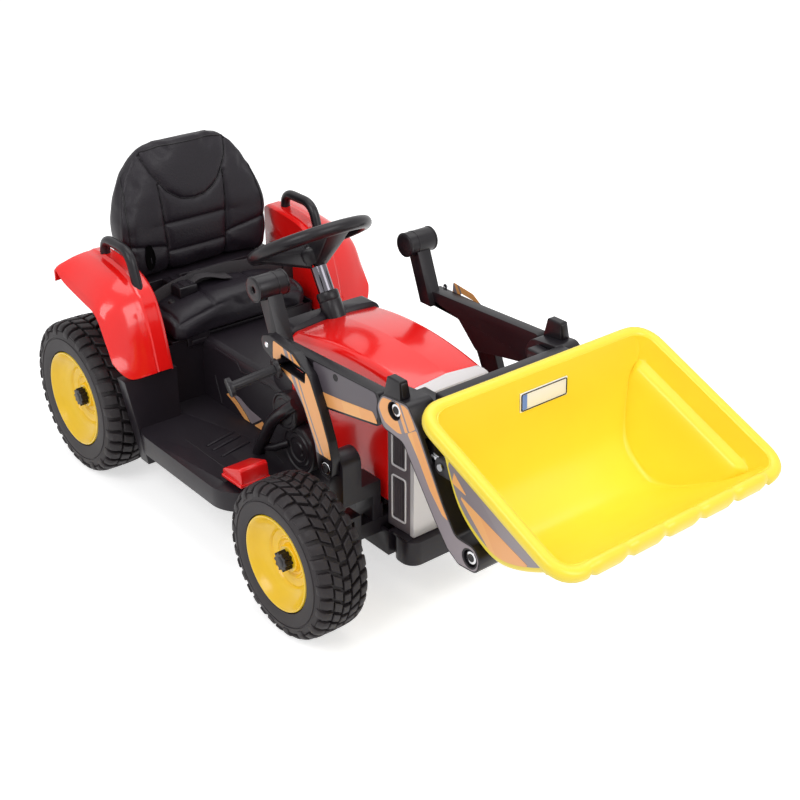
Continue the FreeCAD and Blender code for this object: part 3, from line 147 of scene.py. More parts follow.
orange = linear(251, 176, 108)
ash = linear(146, 136, 142)
looks = {
    "rubber": surface("tyre_rubber", (47, 43, 45), 0.56, grain=500, depth=0.25, mottle=0.12, shine=0.3),
    "rim": surface("rim_yellow_plastic", (254, 208, 44), 0.24, depth=0.08, mottle=0.03),
    "black": surface("grained_black_plastic", (38, 34, 39), 0.36, grain=900, depth=0.2, shine=0.3),
    "satin": surface("satin_black_plastic", (32, 29, 33), 0.33, grain=1100, depth=0.1, shine=0.32),
    # A lighter grey for the booms' outer faces: painted sheen
    "slate": surface("boom_painted_sheen", (88, 81, 88), 0.36, grain=900, depth=0.06),
    "red": surface("glossy_red_plastic", (244, 30, 28), 0.18, grain=160, depth=0.04, mottle=0.03, coat=0.3),
    "yellow": surface("bucket_yellow_plastic", (255, 226, 66), 0.32, grain=500, depth=0.08, mottle=0.03),
    "grey": surface("grille_grey_plastic", (104, 96, 101), 0.38, grain=800, depth=0.12),
    "silver": surface("nose_silver_paint", (232, 228, 230), 0.30, grain=1500, depth=0.03, mottle=0.01,
                      metal=0.15, uneven=0.02),
    "chrome": surface("chromed_steel", (205, 205, 208), 0.12, grain=300, depth=0.02, mottle=0.02, metal=1.0),
    "gunmetal": surface("dark_chrome", (104, 102, 108), 0.14, grain=300, depth=0.02, mottle=0.02, metal=1.0),
    "steel": surface("plain_steel", (150, 150, 152), 0.30, grain=500, depth=0.05, metal=1.0),
    "leather": surface("seat_leather", (34, 30, 36), 0.44, grain=420, depth=0.45, mottle=0.08, cells=True,
                       shine=0.3),
    "piping": surface("seat_piping", (22, 19, 23), 0.42, grain=600, depth=0.2, shine=0.3),
    "belt": webbing("belt_webbing", linear(46, 43, 46)),
    "film": striped("loader_decal", [orange, ash, orange, ash, orange], [0.56, 0.70, 0.82, 0.88],
                    scale=6.5, wobble=3.2, turn=(0.3, 0.5, 0.2)),
    "band": striped("boom_decal", [orange, shade(orange, 1.12), orange], [0.45, 0.8], scale=3.0, wobble=1.0,
                    turn=(0, 0.4, 0)),
    "ash": striped("grey_decal", [ash, shade(ash, 0.9), ash], [0.5, 0.75], scale=2.2, wobble=1.2, turn=(0, 0.7, 0)),
    "plate": surface("number_plate_white", (250, 250, 250), 0.35, grain=700, depth=0.04, mottle=0.02),
    "blue": surface("number_plate_blue", (106, 146, 232), 0.35, grain=700, depth=0.04, mottle=0.02),
    # Painted shade for the backrest's belt slot, which is not cut
    "pit": surface("painted_slot_shade", (9, 8, 9), 0.85, grain=700, depth=0.1, shine=0.05),
    # Painted shade in sockets, holes, eyelets and behind the vent slats, and also the dark lines on the platform and
    # round the number plate
    "dark": surface("recess_dark", (24, 21, 24), 0.6, grain=700, depth=0.1),
    "cell": surface("battery_case", (70, 72, 76), 0.5),
    "switch": surface("switch_red", (242, 34, 34), 0.25, grain=500, depth=0.05),
}


# Mesh helpers

CREASE = 38  # edges sharper than this, in degrees, are shaded as edges
SPLINE_STEPS = 16
BLOCK_FACES = [[0, 1, 3, 2], [4, 6, 7, 5], [0, 4, 5, 1], [2, 3, 7, 6], [0, 2, 6, 4], [1, 5, 7, 3]]


def joined(*parts):
    """One part of (points, faces) from several."""
    points, faces = [], []
    for more, sides in parts:
        faces += [[i + len(points) for i in face] for face in sides]
        points += more
    return points, faces


def clamp(value):
    return max(0.0, min(1.0, value))


def smooth(mesh, angle):
    mesh.shade_smooth()
    mesh.set_sharp_from_angle(angle=radians(angle))


def placed(name, data):
    obj = bpy.data.objects.new(name, data)
    scene.collection.objects.link(obj)
    return obj


def put(name, part, look, body, stands_for=(), angle=CREASE):
    """A piece of the scene from a part, with the CAD nodes that it stands for."""
    mesh = bpy.data.meshes.new(name)
    mesh.from_pydata([Vector(p) * MM for p in part[0]], [], part[1])
    work = bmesh.new()
    work.from_mesh(mesh)
    bmesh.ops.remove_doubles(work, verts=work.verts, dist=0.001 * MM)
    bmesh.ops.recalc_face_normals(work, faces=work.faces)
    work.to_mesh(mesh)
    work.free()
    mesh.materials.append(looks[look])
    smooth(mesh, angle)
    obj = placed(name, mesh)
    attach(obj, body)
    if stands_for:
        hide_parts(*stands_for)
    return obj


def shape(obj, *steps, angle=CREASE):
    """Runs modifiers on a piece and keeps their result as its mesh."""
    for kind, settings in steps:
        modifier = obj.modifiers.new(kind.lower(), kind)
        for key, value in settings.items():
            setattr(modifier, key, value)
    graph = bpy.context.evaluated_depsgraph_get()
    mesh = bpy.data.meshes.new_from_object(obj.evaluated_get(graph))
    obj.modifiers.clear()
    obj.data = mesh
    smooth(mesh, angle)
    return obj


def edges(width, segments=2, limit=30):
    return ("BEVEL", {"width": width * MM, "segments": segments, "limit_method": "ANGLE",
                      "angle_limit": radians(limit)})


def thick(depth, offset):
    return ("SOLIDIFY", {"thickness": depth * MM, "offset": offset})


def closed_mesh(node):
    """A CAD node's mesh to work on, with its seams closed."""
    work = bmesh.new()
    work.from_mesh(nodes[node].data)
    bmesh.ops.remove_doubles(work, verts=work.verts, dist=0.02 * MM)
    return work


def join_flats(work, angle):
    bmesh.ops.dissolve_limit(work, angle_limit=radians(angle), verts=work.verts, edges=work.edges)


def gathered(work, shift=Vector()):
    """A worked mesh as a part; the mesh is freed."""
    work.verts.index_update()
    part = [v.co / MM + shift for v in work.verts], [[v.index for v in f.verts] for f in work.faces]
    work.free()
    return part


def solid_part(node):
    """A CAD node's mesh with its flat triangles joined."""
    work = closed_mesh(node)
    join_flats(work, 0.6)
    return gathered(work)


def soften(node, width, look, segments=3):
    """A moulded copy of a CAD node, with its sharp edges rounded."""
    obj = put(node + "_moulded", solid_part(node), look, body_of[node], [node])
    return shape(obj, edges(width, segments))


def rounded(points, radii, steps=6, closed=True):
    """A flat outline whose corners are eased over their radii, or all over one radius."""
    if not isinstance(radii, tuple):
        radii = (radii,) * len(points)
    out = []
    count = len(points)
    for i, (point, radius) in enumerate(zip(points, radii)):
        here = Vector(point)
        if radius <= 0 or (not closed and i in (0, count - 1)):
            out.append(here)
            continue
        back = Vector(points[i - 1]) - here
        ahead = Vector(points[(i + 1) % count]) - here
        a = here + back.normalized() * min(radius, back.length * 0.49)
        b = here + ahead.normalized() * min(radius, ahead.length * 0.49)
        for k in range(steps + 1):
            t = k / steps
            out.append(a * (1 - t) ** 2 + here * (2 * t * (1 - t)) + b * t ** 2)
    return out


def spline(points, count):
    """Even steps along a smooth curve through the points."""
    pts = [Vector(p) for p in points]
    pts = [pts[0] * 2 - pts[1]] + pts + [pts[-1] * 2 - pts[-2]]
    fine = []
    for p0, p1, p2, p3 in zip(pts, pts[1:], pts[2:], pts[3:]):
        for k in range(SPLINE_STEPS):
            t = k / SPLINE_STEPS
            fine.append((p1 * 2 + (p2 - p0) * t + (p0 * 2 - p1 * 5 + p2 * 4 - p3) * t ** 2
                         + (p1 * 3 - p0 - p2 * 3 + p3) * t ** 3) * 0.5)
    fine.append(pts[-2])
    far = [0.0]
    for a, b in zip(fine, fine[1:]):
        far.append(far[-1] + (b - a).length)
    out = []
    j = 0
    for k in range(count):
        want = far[-1] * k / (count - 1)
        while j < len(far) - 2 and far[j + 1] < want:
            j += 1
        span = far[j + 1] - far[j]
        out.append(fine[j].lerp(fine[j + 1], (want - far[j]) / span if span else 0))
    return out


def table(rows, x):
    """A smooth value at x through a table of (x, value) rows."""
    for i in range(len(rows) - 1):
        (x0, y0), (x1, y1) = rows[i], rows[i + 1]
        if x <= x1 or i == len(rows) - 2:
            t = (x - x0) / (x1 - x0)
            before = rows[i - 1] if i else (2 * x0 - x1, 2 * y0 - y1)
            after = rows[i + 2] if i + 2 < len(rows) else (2 * x1 - x0, 2 * y1 - y0)
            m0 = (y1 - before[1]) / (x1 - before[0]) * (x1 - x0)
            m1 = (after[1] - y0) / (after[0] - x0) * (x1 - x0)
            return (y0 * (2 * t ** 3 - 3 * t ** 2 + 1) + m0 * (t ** 3 - 2 * t ** 2 + t)
                    + y1 * (3 * t ** 2 - 2 * t ** 3) + m1 * (t ** 3 - t ** 2))


def grid(rows, wrap_rows=False, wrap_columns=False):
    """Points in rows, joined by four-sided faces."""
    high, wide = len(rows), len(rows[0])
    faces = []
    for i in range(high if wrap_rows else high - 1):
        for j in range(wide if wrap_columns else wide - 1):
            k, m = (i + 1) % high, (j + 1) % wide
            faces.append([i * wide + j, i * wide + m, k * wide + m, k * wide + j])
    return [p for row in rows for p in row], faces


def tube(path, section, closed=False):
    """A section of (side, up) points carried along a path."""
    path = [Vector(p) for p in path]
    n = len(path)
    rows = []
    up = None
    for i, here in enumerate(path):
        before = path[i - 1] if closed or i else here
        after = path[(i + 1) % n] if closed or i + 1 < n else here
        along = (after - before).normalized()
        if up is None:
            up = Vector((0, 0, 1)) if abs(along.z) < 0.9 else Vector((1, 0, 0))
        up = (up - along * up.dot(along)).normalized()
        side = along.cross(up)
        rows.append([here + side * a + up * b for a, b in section])
    points, faces = grid(rows, wrap_rows=closed, wrap_columns=True)
    if not closed:
        wide = len(section)
        faces += [list(range(wide))[::-1], list(range((n - 1) * wide, n * wide))]
    return points, faces


def circle(radius, sides=14, squash=1.0):
    turns = [tau * i / sides for i in range(sides)]
    return [(radius * cos(t), radius * squash * sin(t)) for t in turns]


def turned(profile, steps=72, closed=False):
    """A profile of (radius, along) points turned round the y axis."""
    rows = []
    for i in range(steps):
        angle = tau * i / steps
        rows.append([(r * sin(angle), a, r * cos(angle)) for r, a in profile])
    return grid(rows, wrap_rows=True, wrap_columns=closed)


def spun(base, axis, profile, steps=40):
    """A profile of (radius, along) points turned round an axis that starts at a base."""
    base, axis = Vector(base), Vector(axis).normalized()
    out = axis.orthogonal().normalized()
    up = axis.cross(out)
    rows = []
    for i in range(steps):
        angle = tau * i / steps
        away = out * cos(angle) + up * sin(angle)
        rows.append([base + axis * a + away * r for r, a in profile])
    return grid(rows, wrap_rows=True)


def block(x0, x1, y0, y1, z0, z1):
    points = [(x, y, z) for x in (x0, x1) for y in (y0, y1) for z in (z0, z1)]
    return points, BLOCK_FACES


def plate(outline, y0, y1):
    """An outline of (x, z) points given a thickness across the machine."""
    n = len(outline)
    points = [(x, y, z) for y in (y0, y1) for x, z in outline]
    faces = [list(range(n)), list(range(n, 2 * n))[::-1]]
    return points, faces + [[i, (i + 1) % n, n + (i + 1) % n, n + i] for i in range(n)]


def moved(part, x, y, z, side=1):
    points, faces = part
    return [(p[0] + x, side * (p[1] + y), p[2] + z) for p in points], faces


def mirrored(part, side):
    return moved(part, 0, 0, 0, side)


def on_both_sides(*parts):
    return joined(*[mirrored(part, side) for _, side in MIRRORS for part in parts])


# Wheels

REAR_X, REAR_Z = -470, 130  # the rear axle
# Axle's x, tyre radius and width, rim radius, outer face, blocks in a row, and the rows of tread blocks:
# start and end across the tread, turn, fill, skew, and what every second block lacks at its outer end
WHEELS = {
    "front": (120, 115, 80, 71, 260, 34, (
        (0.0, 0.275, 0.0, 0.74, 0.10, 0.075), (0.295, 0.425, 0.5, 0.74, 0.55, 0),
        (0.445, 0.555, 0.0, 0.70, 0.0, 0), (0.575, 0.705, 0.5, 0.74, -0.55, 0),
        (0.725, 1.0, 0.0, 0.74, -0.10, 0.075))),
    "rear": (REAR_X, REAR_Z, 85, 80, 255, 36, (
        (0.0, 0.30, 0.0, 0.72, 0.08, 0.08), (0.325, 0.485, 0.5, 0.72, 0.40, 0),
        (0.515, 0.675, 0.5, 0.72, -0.40, 0), (0.70, 1.0, 0.0, 0.72, -0.08, 0.08)))}
BLOCK_EDGE = 0.013  # rounding of a tread block's ends, as a share of the tread's width
BLOCK_SHOULDER = 0.85  # how high a block's edge stands
BLOCK_ROOT = -0.12  # how far its sides reach into the carcass
BLOCK_ROUND = ((0.0, 0.0), (0.04, BLOCK_SHOULDER), (0.14, 1.0), (0.5, 1.0), (0.86, 1.0), (0.96, BLOCK_SHOULDER),
               (1.0, 0.0))


def tyre_part(radius, width, rim, count, rows):
    """A tyre in its own frame, y from its outer face inwards: carcass and tread blocks."""
    half = width / 2
    top = [(0.4, 0.845), (0.0, 0.885), (1.4, 0.93), (5, 0.966), (11, 0.988), (20, 0.997), (half, 1.0)]
    base = [(1.2, 0.845), (2.2, 0.885), (5.5, 0.912), (9, 0.93), (14, 0.938), (20, 0.943), (half, 0.946)]
    wall = [(6, rim / radius), (2.0, rim / radius + 0.015), (0.8, 0.70), (0.3, 0.765), (0.3, 0.79), (1.6, 0.797),
            (1.6, 0.808), (0.3, 0.815)]
    for curve in (top, base):
        curve += [(width - a, r) for a, r in curve[-2::-1]]
    carcass = wall + base + [(width - a, r) for a, r in wall[::-1]]
    parts = [turned([(r * radius, a) for a, r in carcass], 96, closed=True)]
    far = [0.0]
    for p, q in zip(top, top[1:]):
        far.append(far[-1] + hypot(q[0] - p[0], (q[1] - p[1]) * radius))

    def at(curve, share):
        want = share * far[-1]
        i = max(k for k in range(len(far) - 1) if far[k] <= want or k == 0)
        t = (want - far[i]) / (far[i + 1] - far[i])
        return [curve[i][k] * (1 - t) + curve[i + 1][k] * t for k in (0, 1)]

    for s0, s1, shift, fill, skew, short in rows:
        for n in range(count):
            begin, end = s0, s1
            if short and n % 2:
                begin, end = (s0 + short, s1) if s0 < 0.5 else (s0, s1 - short)
            steps = 5 if end - begin > 0.2 else 3
            inner = [begin + BLOCK_EDGE + (end - begin - 2 * BLOCK_EDGE) * k / (steps - 1) for k in range(steps)]
            across = [begin, begin + 0.3 * BLOCK_EDGE] + inner + [end - 0.3 * BLOCK_EDGE, end]
            rise = [0.0, BLOCK_SHOULDER] + [1.0] * steps + [BLOCK_SHOULDER, 0.0]
            block_rows = []
            for s, high in zip(across, rise):
                (ta, tr), (ba, br) = at(top, s), at(base, s)
                lean = skew * (s - (s0 + s1) / 2) * 6
                row = []
                for share, lift in BLOCK_ROUND:
                    k = min(high, lift) or BLOCK_ROOT
                    r = (br + (tr - br) * k) * radius
                    angle = tau * (n + shift + (share - 0.5) * fill + lean) / count
                    row.append((r * sin(angle), ba + (ta - ba) * k, r * cos(angle)))
                block_rows.append(row)
            parts.append(grid(block_rows))
    return joined(*parts)


def rim_part(radius, width):
    """A dished rim in its own frame: rolled lip, bowl with two steps and a hub."""
    lip = ((1.5, 6), (0, 3.4), (0.8, 1.6), (2.6, 1.4), (4.4, 3.2), (8, 9))
    bowl = ((0.80, 16), (0.70, 20.5), (0.635, 22), (0.61, 23.6), (0.585, 26.5), (0.50, 29), (0.445, 29.4),
            (0.43, 28.0), (0.40, 27.6), (0.375, 29.0), (0.36, 30.0))
    hub = [(22, 30.2), (20.6, 28.5), (19.8, 23.4), (18.6, 22.2), (6.0, 22.0), (6.0, width - 12), (20, width - 12),
           (22, 40)]
    back = ((12, 38), (9, 44), (6, width - 4), (1.5, width - 4))
    profile = [(radius - r, a) for r, a in lip] + [(radius * r, a) for r, a in bowl] + hub
    return turned(profile + [(radius - r, a) for r, a in back], 96, closed=True)


nut_cap = turned([(0.1, 9.2), (6.4, 9.2), (7.6, 9.8), (8.0, 10.6), (8.0, 14)], 40)
for kind, (axle_x, radius, width, rim, outer, count, rows) in WHEELS.items():
    tyre = tyre_part(radius, width, rim, count, rows)
    dish = rim_part(rim, width)
    for hand, side in MIRRORS:
        body = f"{kind}_wheel_{hand}"
        place = axle_x, -outer, radius, side
        for name, part, look, slot in (("tyre", tyre, "rubber", "tyre_black"), ("rim", dish, "rim", "rim_yellow")):
            node = f"{kind}_{name}_{hand}"
            put(node + "_dressed", moved(part, *place), look, body, [node], angle=32)
        soften(f"{kind}_nut_{hand}", 0.7, "satin", 2)
        put(f"{kind}_nut_cap_{hand}", moved(nut_cap, *place), "satin", body)


# Rear fenders

FENDER_RADIUS = 186  # the unit of the side outline, and the room that the wheel needs
FENDER_INNER, FENDER_WIDTH, FENDER_FOOT = -154.5, 95.5, 218.6
FENDER_ROLL = 34  # the unit of the skin's drop towards its outer edge
WHEEL_ROOM = Vector((-478, 0, 148))


def fender_part():
    """The right fender's skin: its side outline carried outwards over a rounded shoulder."""
    outline = ((-0.129, 1.07), (-0.129, 1.30), (0.11, 1.31), (0.46, 1.27), (0.66, 1.15), (0.785, 0.94), (0.90, 0.49))
    ease = (0.35, 0.35, 1.0, 1.0, 0.65, 0.65, 0.5)
    drop = ((0, 0.16), (0.05, 0.02), (0.12, 0.0), (0.26, -0.03), (0.285, -0.03), (0.315, 0.09), (0.45, 0.14),
            (0.65, 0.34), (0.85, 0.74), (0.95, 1.04), (1.0, 1.34))
    rows = []
    for k in range(41):
        share = k / 40
        corners = []
        for (a, b), e in zip(outline, ease):
            length = hypot(a, b) * FENDER_RADIUS
            scale = (length - table(drop, share) * FENDER_ROLL * e) / length * FENDER_RADIUS
            corners.append((REAR_X + a * scale, REAR_Z + b * scale))
        line = rounded(corners, (0, 10, 60, 60, 60, 60, 0), 8, closed=False)
        # The front outer corner is clipped
        low = FENDER_FOOT + 24 * max(0.0, (share - 0.74) / 0.26) ** 2
        while line[-2].y < low:
            line.pop()
        if line[-1].y < low:
            line[-1] = line[-2].lerp(line[-1], (line[-2].y - low) / (line[-2].y - line[-1].y))
        row = []
        for p in spline([(x, 0, z) for x, z in line], 61):
            if share > 0.3:
                away = p - WHEEL_ROOM
                gap = away.length - FENDER_RADIUS
                p = WHEEL_ROOM + away.normalized() * (FENDER_RADIUS + (gap + hypot(gap, 9)) / 2)
            row.append(Vector((p.x, FENDER_INNER - share * FENDER_WIDTH, max(p.z, FENDER_FOOT))))
        rows.append(row)
    points, faces = grid(rows)
    foot = [Vector((rows[0][k].x, FENDER_INNER, FENDER_FOOT)) for k in (-1, 0)]
    faces.append(list(range(len(rows[0]))) + [len(points), len(points) + 1])
    return points + foot, faces


grab = [(-457, -175, 352), (-457, -175, 398), (-377, -175, 398), (-359, -175, 345), (-350, -175, 318)]
grab = tube(rounded(grab, (0, 24, 24, 0, 0), 8, closed=False), circle(8.2, 18))
for hand, side in MIRRORS:
    fender = put(f"fender_{hand}_skin", mirrored(fender_part(), side), "red", "chassis",
                 [f"fender_{hand}"], angle=50)
    shape(fender, thick(3.0, -1.0), edges(1.2, 3, 50), angle=20)
    put(f"grab_handle_{hand}_tube", mirrored(grab, side), "satin", "chassis", [f"grab_handle_{hand}"])


# Seat

VOXEL = 5
CLOTH_FRAMES = 20
CLOTH_PRESSURE = 4
FACES_AWAY = 0.25  # what faces less than this to the front isn't sewn
BACKREST_SHOULDER, BACKREST_RISE = 380, 130
SLOT_Y, SLOT_Z, SLOT_HALF, SLOT_TALL = -95, 343, 9, 21
PAD_EDGE = 262.0
BELT_X = -413
BELT_HALF_THICK, BELT_CORNER = 0.9, 0.6


def near_line(y, z, line):
    """How far a place is from a line of points."""
    best = 1e9
    for (y0, z0), (y1, z1) in zip(line, line[1:]):
        dy, dz = y1 - y0, z1 - z0
        t = clamp(((y - y0) * dy + (z - z0) * dz) / (dy * dy + dz * dz))
        best = min(best, hypot(y - y0 - t * dy, z - z0 - t * dz))
    return best


def with_normals(obj):
    """A mesh's points with their normals as they are before any of the points moves."""
    return [(v, v.normal.copy()) for v in obj.data.vertices]


def cushion(node, shrink, cap):
    """A padded copy of a soft CAD solid: remeshed, drawn in a little and blown up as cloth, by a cap at most."""
    obj = put(node + "_padded", solid_part(node), "leather", body_of[node], [node])
    shape(obj, ("REMESH", {"mode": "VOXEL", "voxel_size": VOXEL * MM}), ("SMOOTH", {"factor": 0.5, "iterations": 8}),
          angle=180)
    for vertex, normal in with_normals(obj):
        vertex.co -= normal * shrink * MM
    before = [v.co.copy() for v in obj.data.vertices]
    cloth = obj.modifiers.new("cloth", "CLOTH")
    cloth.settings.use_pressure = True
    cloth.settings.uniform_pressure_force = CLOTH_PRESSURE
    cloth.settings.effector_weights.gravity = 0
    cloth.settings.quality = 5
    cloth.point_cache.frame_start = 1
    cloth.point_cache.frame_end = CLOTH_FRAMES
    for step in range(1, CLOTH_FRAMES + 1):
        scene.frame_set(step)
    shape(obj, angle=180)
    scene.frame_set(1)
    for vertex, old in zip(obj.data.vertices, before):
        move = vertex.co - old
        if move.length > cap * MM:
            vertex.co = old + move.normalized() * cap * MM
    return obj


def sew(obj, facing, plane, lines, width, depth, swell):
    """Presses seams into the side of a cushion that faces along an axis, and swells what lies between."""
    shape(obj, ("SUBSURF", {"levels": 1, "render_levels": 1}), angle=180)
    for vertex, normal in with_normals(obj):
        if normal[facing] < FACES_AWAY:
            continue
        a, b = (vertex.co[k] / MM for k in plane)
        gap = min(near_line(a, b, line) for line in lines)
        press = depth * exp(-(gap / width) ** 2) - swell * (1 - exp(-(gap / (4 * width)) ** 2))
        vertex.co -= normal * press * MM * min(1.0, (normal[facing] - FACES_AWAY) / 0.3)
    smooth(obj.data, 180)


def flipped(line):
    return [(-y, z) for y, z in line]


def arch(half, top):
    """A line from its right half and its top point."""
    return half + [top] + flipped(half[::-1])


def upper(z):
    """Nought up to the backrest's shoulders, one at its top."""
    return clamp((z - BACKREST_SHOULDER) / BACKREST_RISE)


hem = arch([(-112, 306), (-124, 340), (-128, 376), (-127, 410), (-119, 455), (-106, 486), (-88, 505), (-48, 514)],
           (0, 516))
crest = arch([(-82, 508), (-71, 478), (-48, 444), (-24, 428)], (0, 424))
column = [(-62, 458), (-60, 412), (-57, 360), (-55, 308)]
wing = [(-58, 351), (-131, 368)]
seat_lines = [crest, column, flipped(column), [(-58, 390), (58, 390)], [(-56, 342), (56, 342)], wing, flipped(wing)]
backrest = cushion("backrest_cushion", 1.0, 4.0)
for vertex in backrest.data.vertices:
    # The wings come forwards low down, and the top is drawn in
    x, y, z = vertex.co / MM
    low = clamp((500 - z) / 170)
    low = low * low * (3 - 2 * low)
    out = clamp((abs(y) - 45) / 95)
    ahead = clamp((x + 522) / 56)
    vertex.co.x += 28 * low * out * out * ahead * MM
    vertex.co.y *= 0.98 - 0.09 * upper(z) ** 1.5
sew(backrest, 0, (1, 2), seat_lines, 1.9, 3.2, 1.8)
pad = cushion("seat_cushion", 2.0, 5.0)
pad_lines = [[(-340, -118), (-340, 118)]]
pad_lines += [[(-452, y), (-330, y)] for y in (-48, 48)] + [[(-446, y), (-340, y)] for y in (-118, 118)]
sew(pad, 2, (0, 1), pad_lines, 2.0, 3.0, 1.5)


def front_at(y, z):
    """Where the front of the backrest is, and which way it faces there."""
    hit, where, normal, _ = backrest.ray_cast(Vector((0, y * MM, z * MM)), Vector((-1, 0, 0)))
    return (where / MM, normal) if hit else None


for name, line in (("hem", hem), ("crest", crest), ("right", column), ("left", flipped(column))):
    spots = [front_at(p.y, p.z) for p in spline([(0, y, z) for y, z in line], 90)]
    path = [where + normal * 0.2 for where, normal in filter(None, spots)]
    put("backrest_piping_" + name, tube(path, circle(1.2, 8)), "piping", "chassis")
shell = soften("seat_shell", 3.0, "black")
for vertex in shell.data.vertices:
    high = upper(vertex.co.z / MM)
    vertex.co.y *= 1 - 0.04 * min(1.0, 3 * high) - 0.12 * high ** 1.5
# The belt slot is a flat near-black disc in a dark ring: painted shade where the opening is
slot_ring = [front_at(SLOT_Y + y, SLOT_Z + z)[0] + Vector((1.3, 0, 0))
             for y, z in circle(SLOT_HALF, 28, SLOT_TALL / SLOT_HALF)]
belt_slot = joined(tube(slot_ring, circle(1.0, 8), closed=True), (slot_ring, [list(range(len(slot_ring)))]))
put("backrest_belt_slot", belt_slot, "pit", "chassis")


def pad_height(x, y):
    hit, where, normal, _ = pad.ray_cast(Vector((x * MM, y * MM, 0.6)), Vector((0, 0, -1)))
    return where.z / MM if hit else PAD_EDGE


def strap(name, path, width, stands_for=()):
    """A flat strap through the points."""
    half, thin = width / 2, BELT_HALF_THICK
    flat = half - BELT_CORNER
    section = [(-half, -thin / 2), (-flat, -thin), (flat, -thin), (half, -thin / 2), (half, thin / 2), (flat, thin),
               (-flat, thin), (-half, thin / 2)]
    put(name, tube(spline(path, 60), section), "belt", "chassis", stands_for)


belt_end = [(BELT_X, -138.5, 246), (BELT_X, -139, 262), (BELT_X, -136, 277)]
belt_path = belt_end + [(BELT_X, y, pad_height(BELT_X, y) + 1.6) for y in range(-126, 127, 12)]
belt_path += [(x, -y, z) for x, y, z in belt_end[::-1]]
strap("lap_belt_webbing", belt_path, 38, ["seat_belt"])
soften("belt_buckle", 2.0, "satin")
buckle_ribs = joined(block(-436, -390, -76, -64, 308.5, 311.2), block(-432, -394, -84, -80, 308.5, 310.6),
                     block(-432, -394, -60, -56, 308.5, 310.6))
shape(put("belt_buckle_ribs", buckle_ribs, "black", "chassis"), edges(0.8, 2))
strap("lap_belt_tail", [(BELT_X, -56, 306), (-411, -40, 314), (-409, -20, 312), (-406, 0, pad_height(-406, 0) + 5),
                        (-404, 16, pad_height(-404, 16) + 2.5)], 36)
# Each eyelet is a raised dark rim round a flat dark disc, which is painted shade for its hole
eyelet = [(0.05, 0.4), (3.2, 0.4), (3.6, 1.4), (5.2, 1.6), (6.0, 0.6), (6.2, -1.5)]
eyelets = [spun((-392, y, pad_height(-392, y)), (0, 0, 1), eyelet, 24) for y in (-99, 99)]
put("seat_eyelets", joined(*eyelets), "dark", "chassis")


# Body: softened copies of the CAD solids, by look, slot, node and width of the rounding.
# A name that ends with an underscore stands for a right and a left node.

softened = (
    ("steel", "axle_steel", {"rear_axle": 0.6}), ("black", "tub_black", {"front_axle_beam": 2.0}),
    ("satin", "axle_steel", {"knuckle_": 1.0}), ("steel", "axle_steel", {"tie_rod": 1.0, "steering_shaft": 0.8}),
    ("black", "tub_black", {"body_tub": 4.0}), ("red", "hood_red", {"hood_top": 2.0, "hood_side_": 1.0}),
    ("grey", "grille_grey", {"grille_": 1.4}), ("silver", "nose_silver", {"nose_panel": 5.0}),
    ("black", "tub_black", {"front_bumper": 6.0, "dash_cowl": 4.0}), ("switch", "button_red", {"power_button": 1.5}),
    ("satin", "switch_black", {"direction_switch": 1.2}), ("grey", "motor_grey", {"gear_motors": 2.0}),
    ("cell", "battery_grey", {"battery": 3.0}), ("satin", "box_black", {"control_box": 2.0}),
    ("chrome", "axle_steel", {"pivot_pins": 0.8}),
    ("satin", "loader_black", {"tower_": 1.6, "front_arm_": 2.0, "boom_": 2.0, "cross_member": 3.0}),
    ("satin", "grip_black", {"handle_grips": 3.0, "boom_bumpers": 2.0}),
    ("chrome", "axle_steel", {"loader_bolts": 0.8}), ("plate", "plate_white", {"number_plate": 0.6}),
    ("satin", "loader_black", {"tilt_handle": 1.2}), ("chrome", "chrome_tube", {"tilt_rod": 0.6}),
    ("satin", "steering_black", {"steering_wheel": 2.5}))
for look, slot, group in softened:
    for name, width in group.items():
        for node in (name + "right", name + "left") if name.endswith("_") else (name,):
            soften(node, width, look)


# Loader: films on the outer faces of its plates, bolts and grips

TOWER_FACE, BOOM_FACE = 164, 150
LAID, OVER = 0.1, 0.65  # gap under a film that lies on its plate, or over another film
FILM = 0.4
ELBOW = Vector((245.9, 367.1))
BUCKET_PIVOT = Vector((393, 221))
GRIP_X, GRIP_Z = -52, 437
tower_films = (
    ("tower_film", "film", LAID, (
        (14, 345.3), (39.5, 333), (46.5, 328), (65.8, 306), (68, 302.5), (89.6, 260), (91.2, 255), (93, 246),
        (126, 246.5), (125.4, 249.3), (120, 270), (119.2, 272), (103, 309.3), (81.8, 350.6), (76.5, 356.3),
        (72.8, 358.6), (71.2, 341))),
    ("tower_cap_film", "film", LAID, (
        (-4, 353), (-2, 379.6), (42.5, 374.6), (62, 362.8), (15.5, 367.2), (13.6, 347))))
boom_films = (
    # The grey film on each boom's outer face is painted sheen
    ("boom_sheen_film", "slate", LAID, (
        (72, 371.5), (206, 376.8), (211, 369), (209, 353), (212, 345), (207, 332.5), (91, 311.5), (78, 323))),
    ("boom_stripe", "band", OVER, (
        (72, 331), (87, 312.5), (156, 324), (212, 334), (202, 348), (134, 338))),
    ("arm_flash", "band", OVER, (
        (289, 357), (338, 276), (352, 256), (341, 259), (317, 284), (293, 320), (272, 346))))
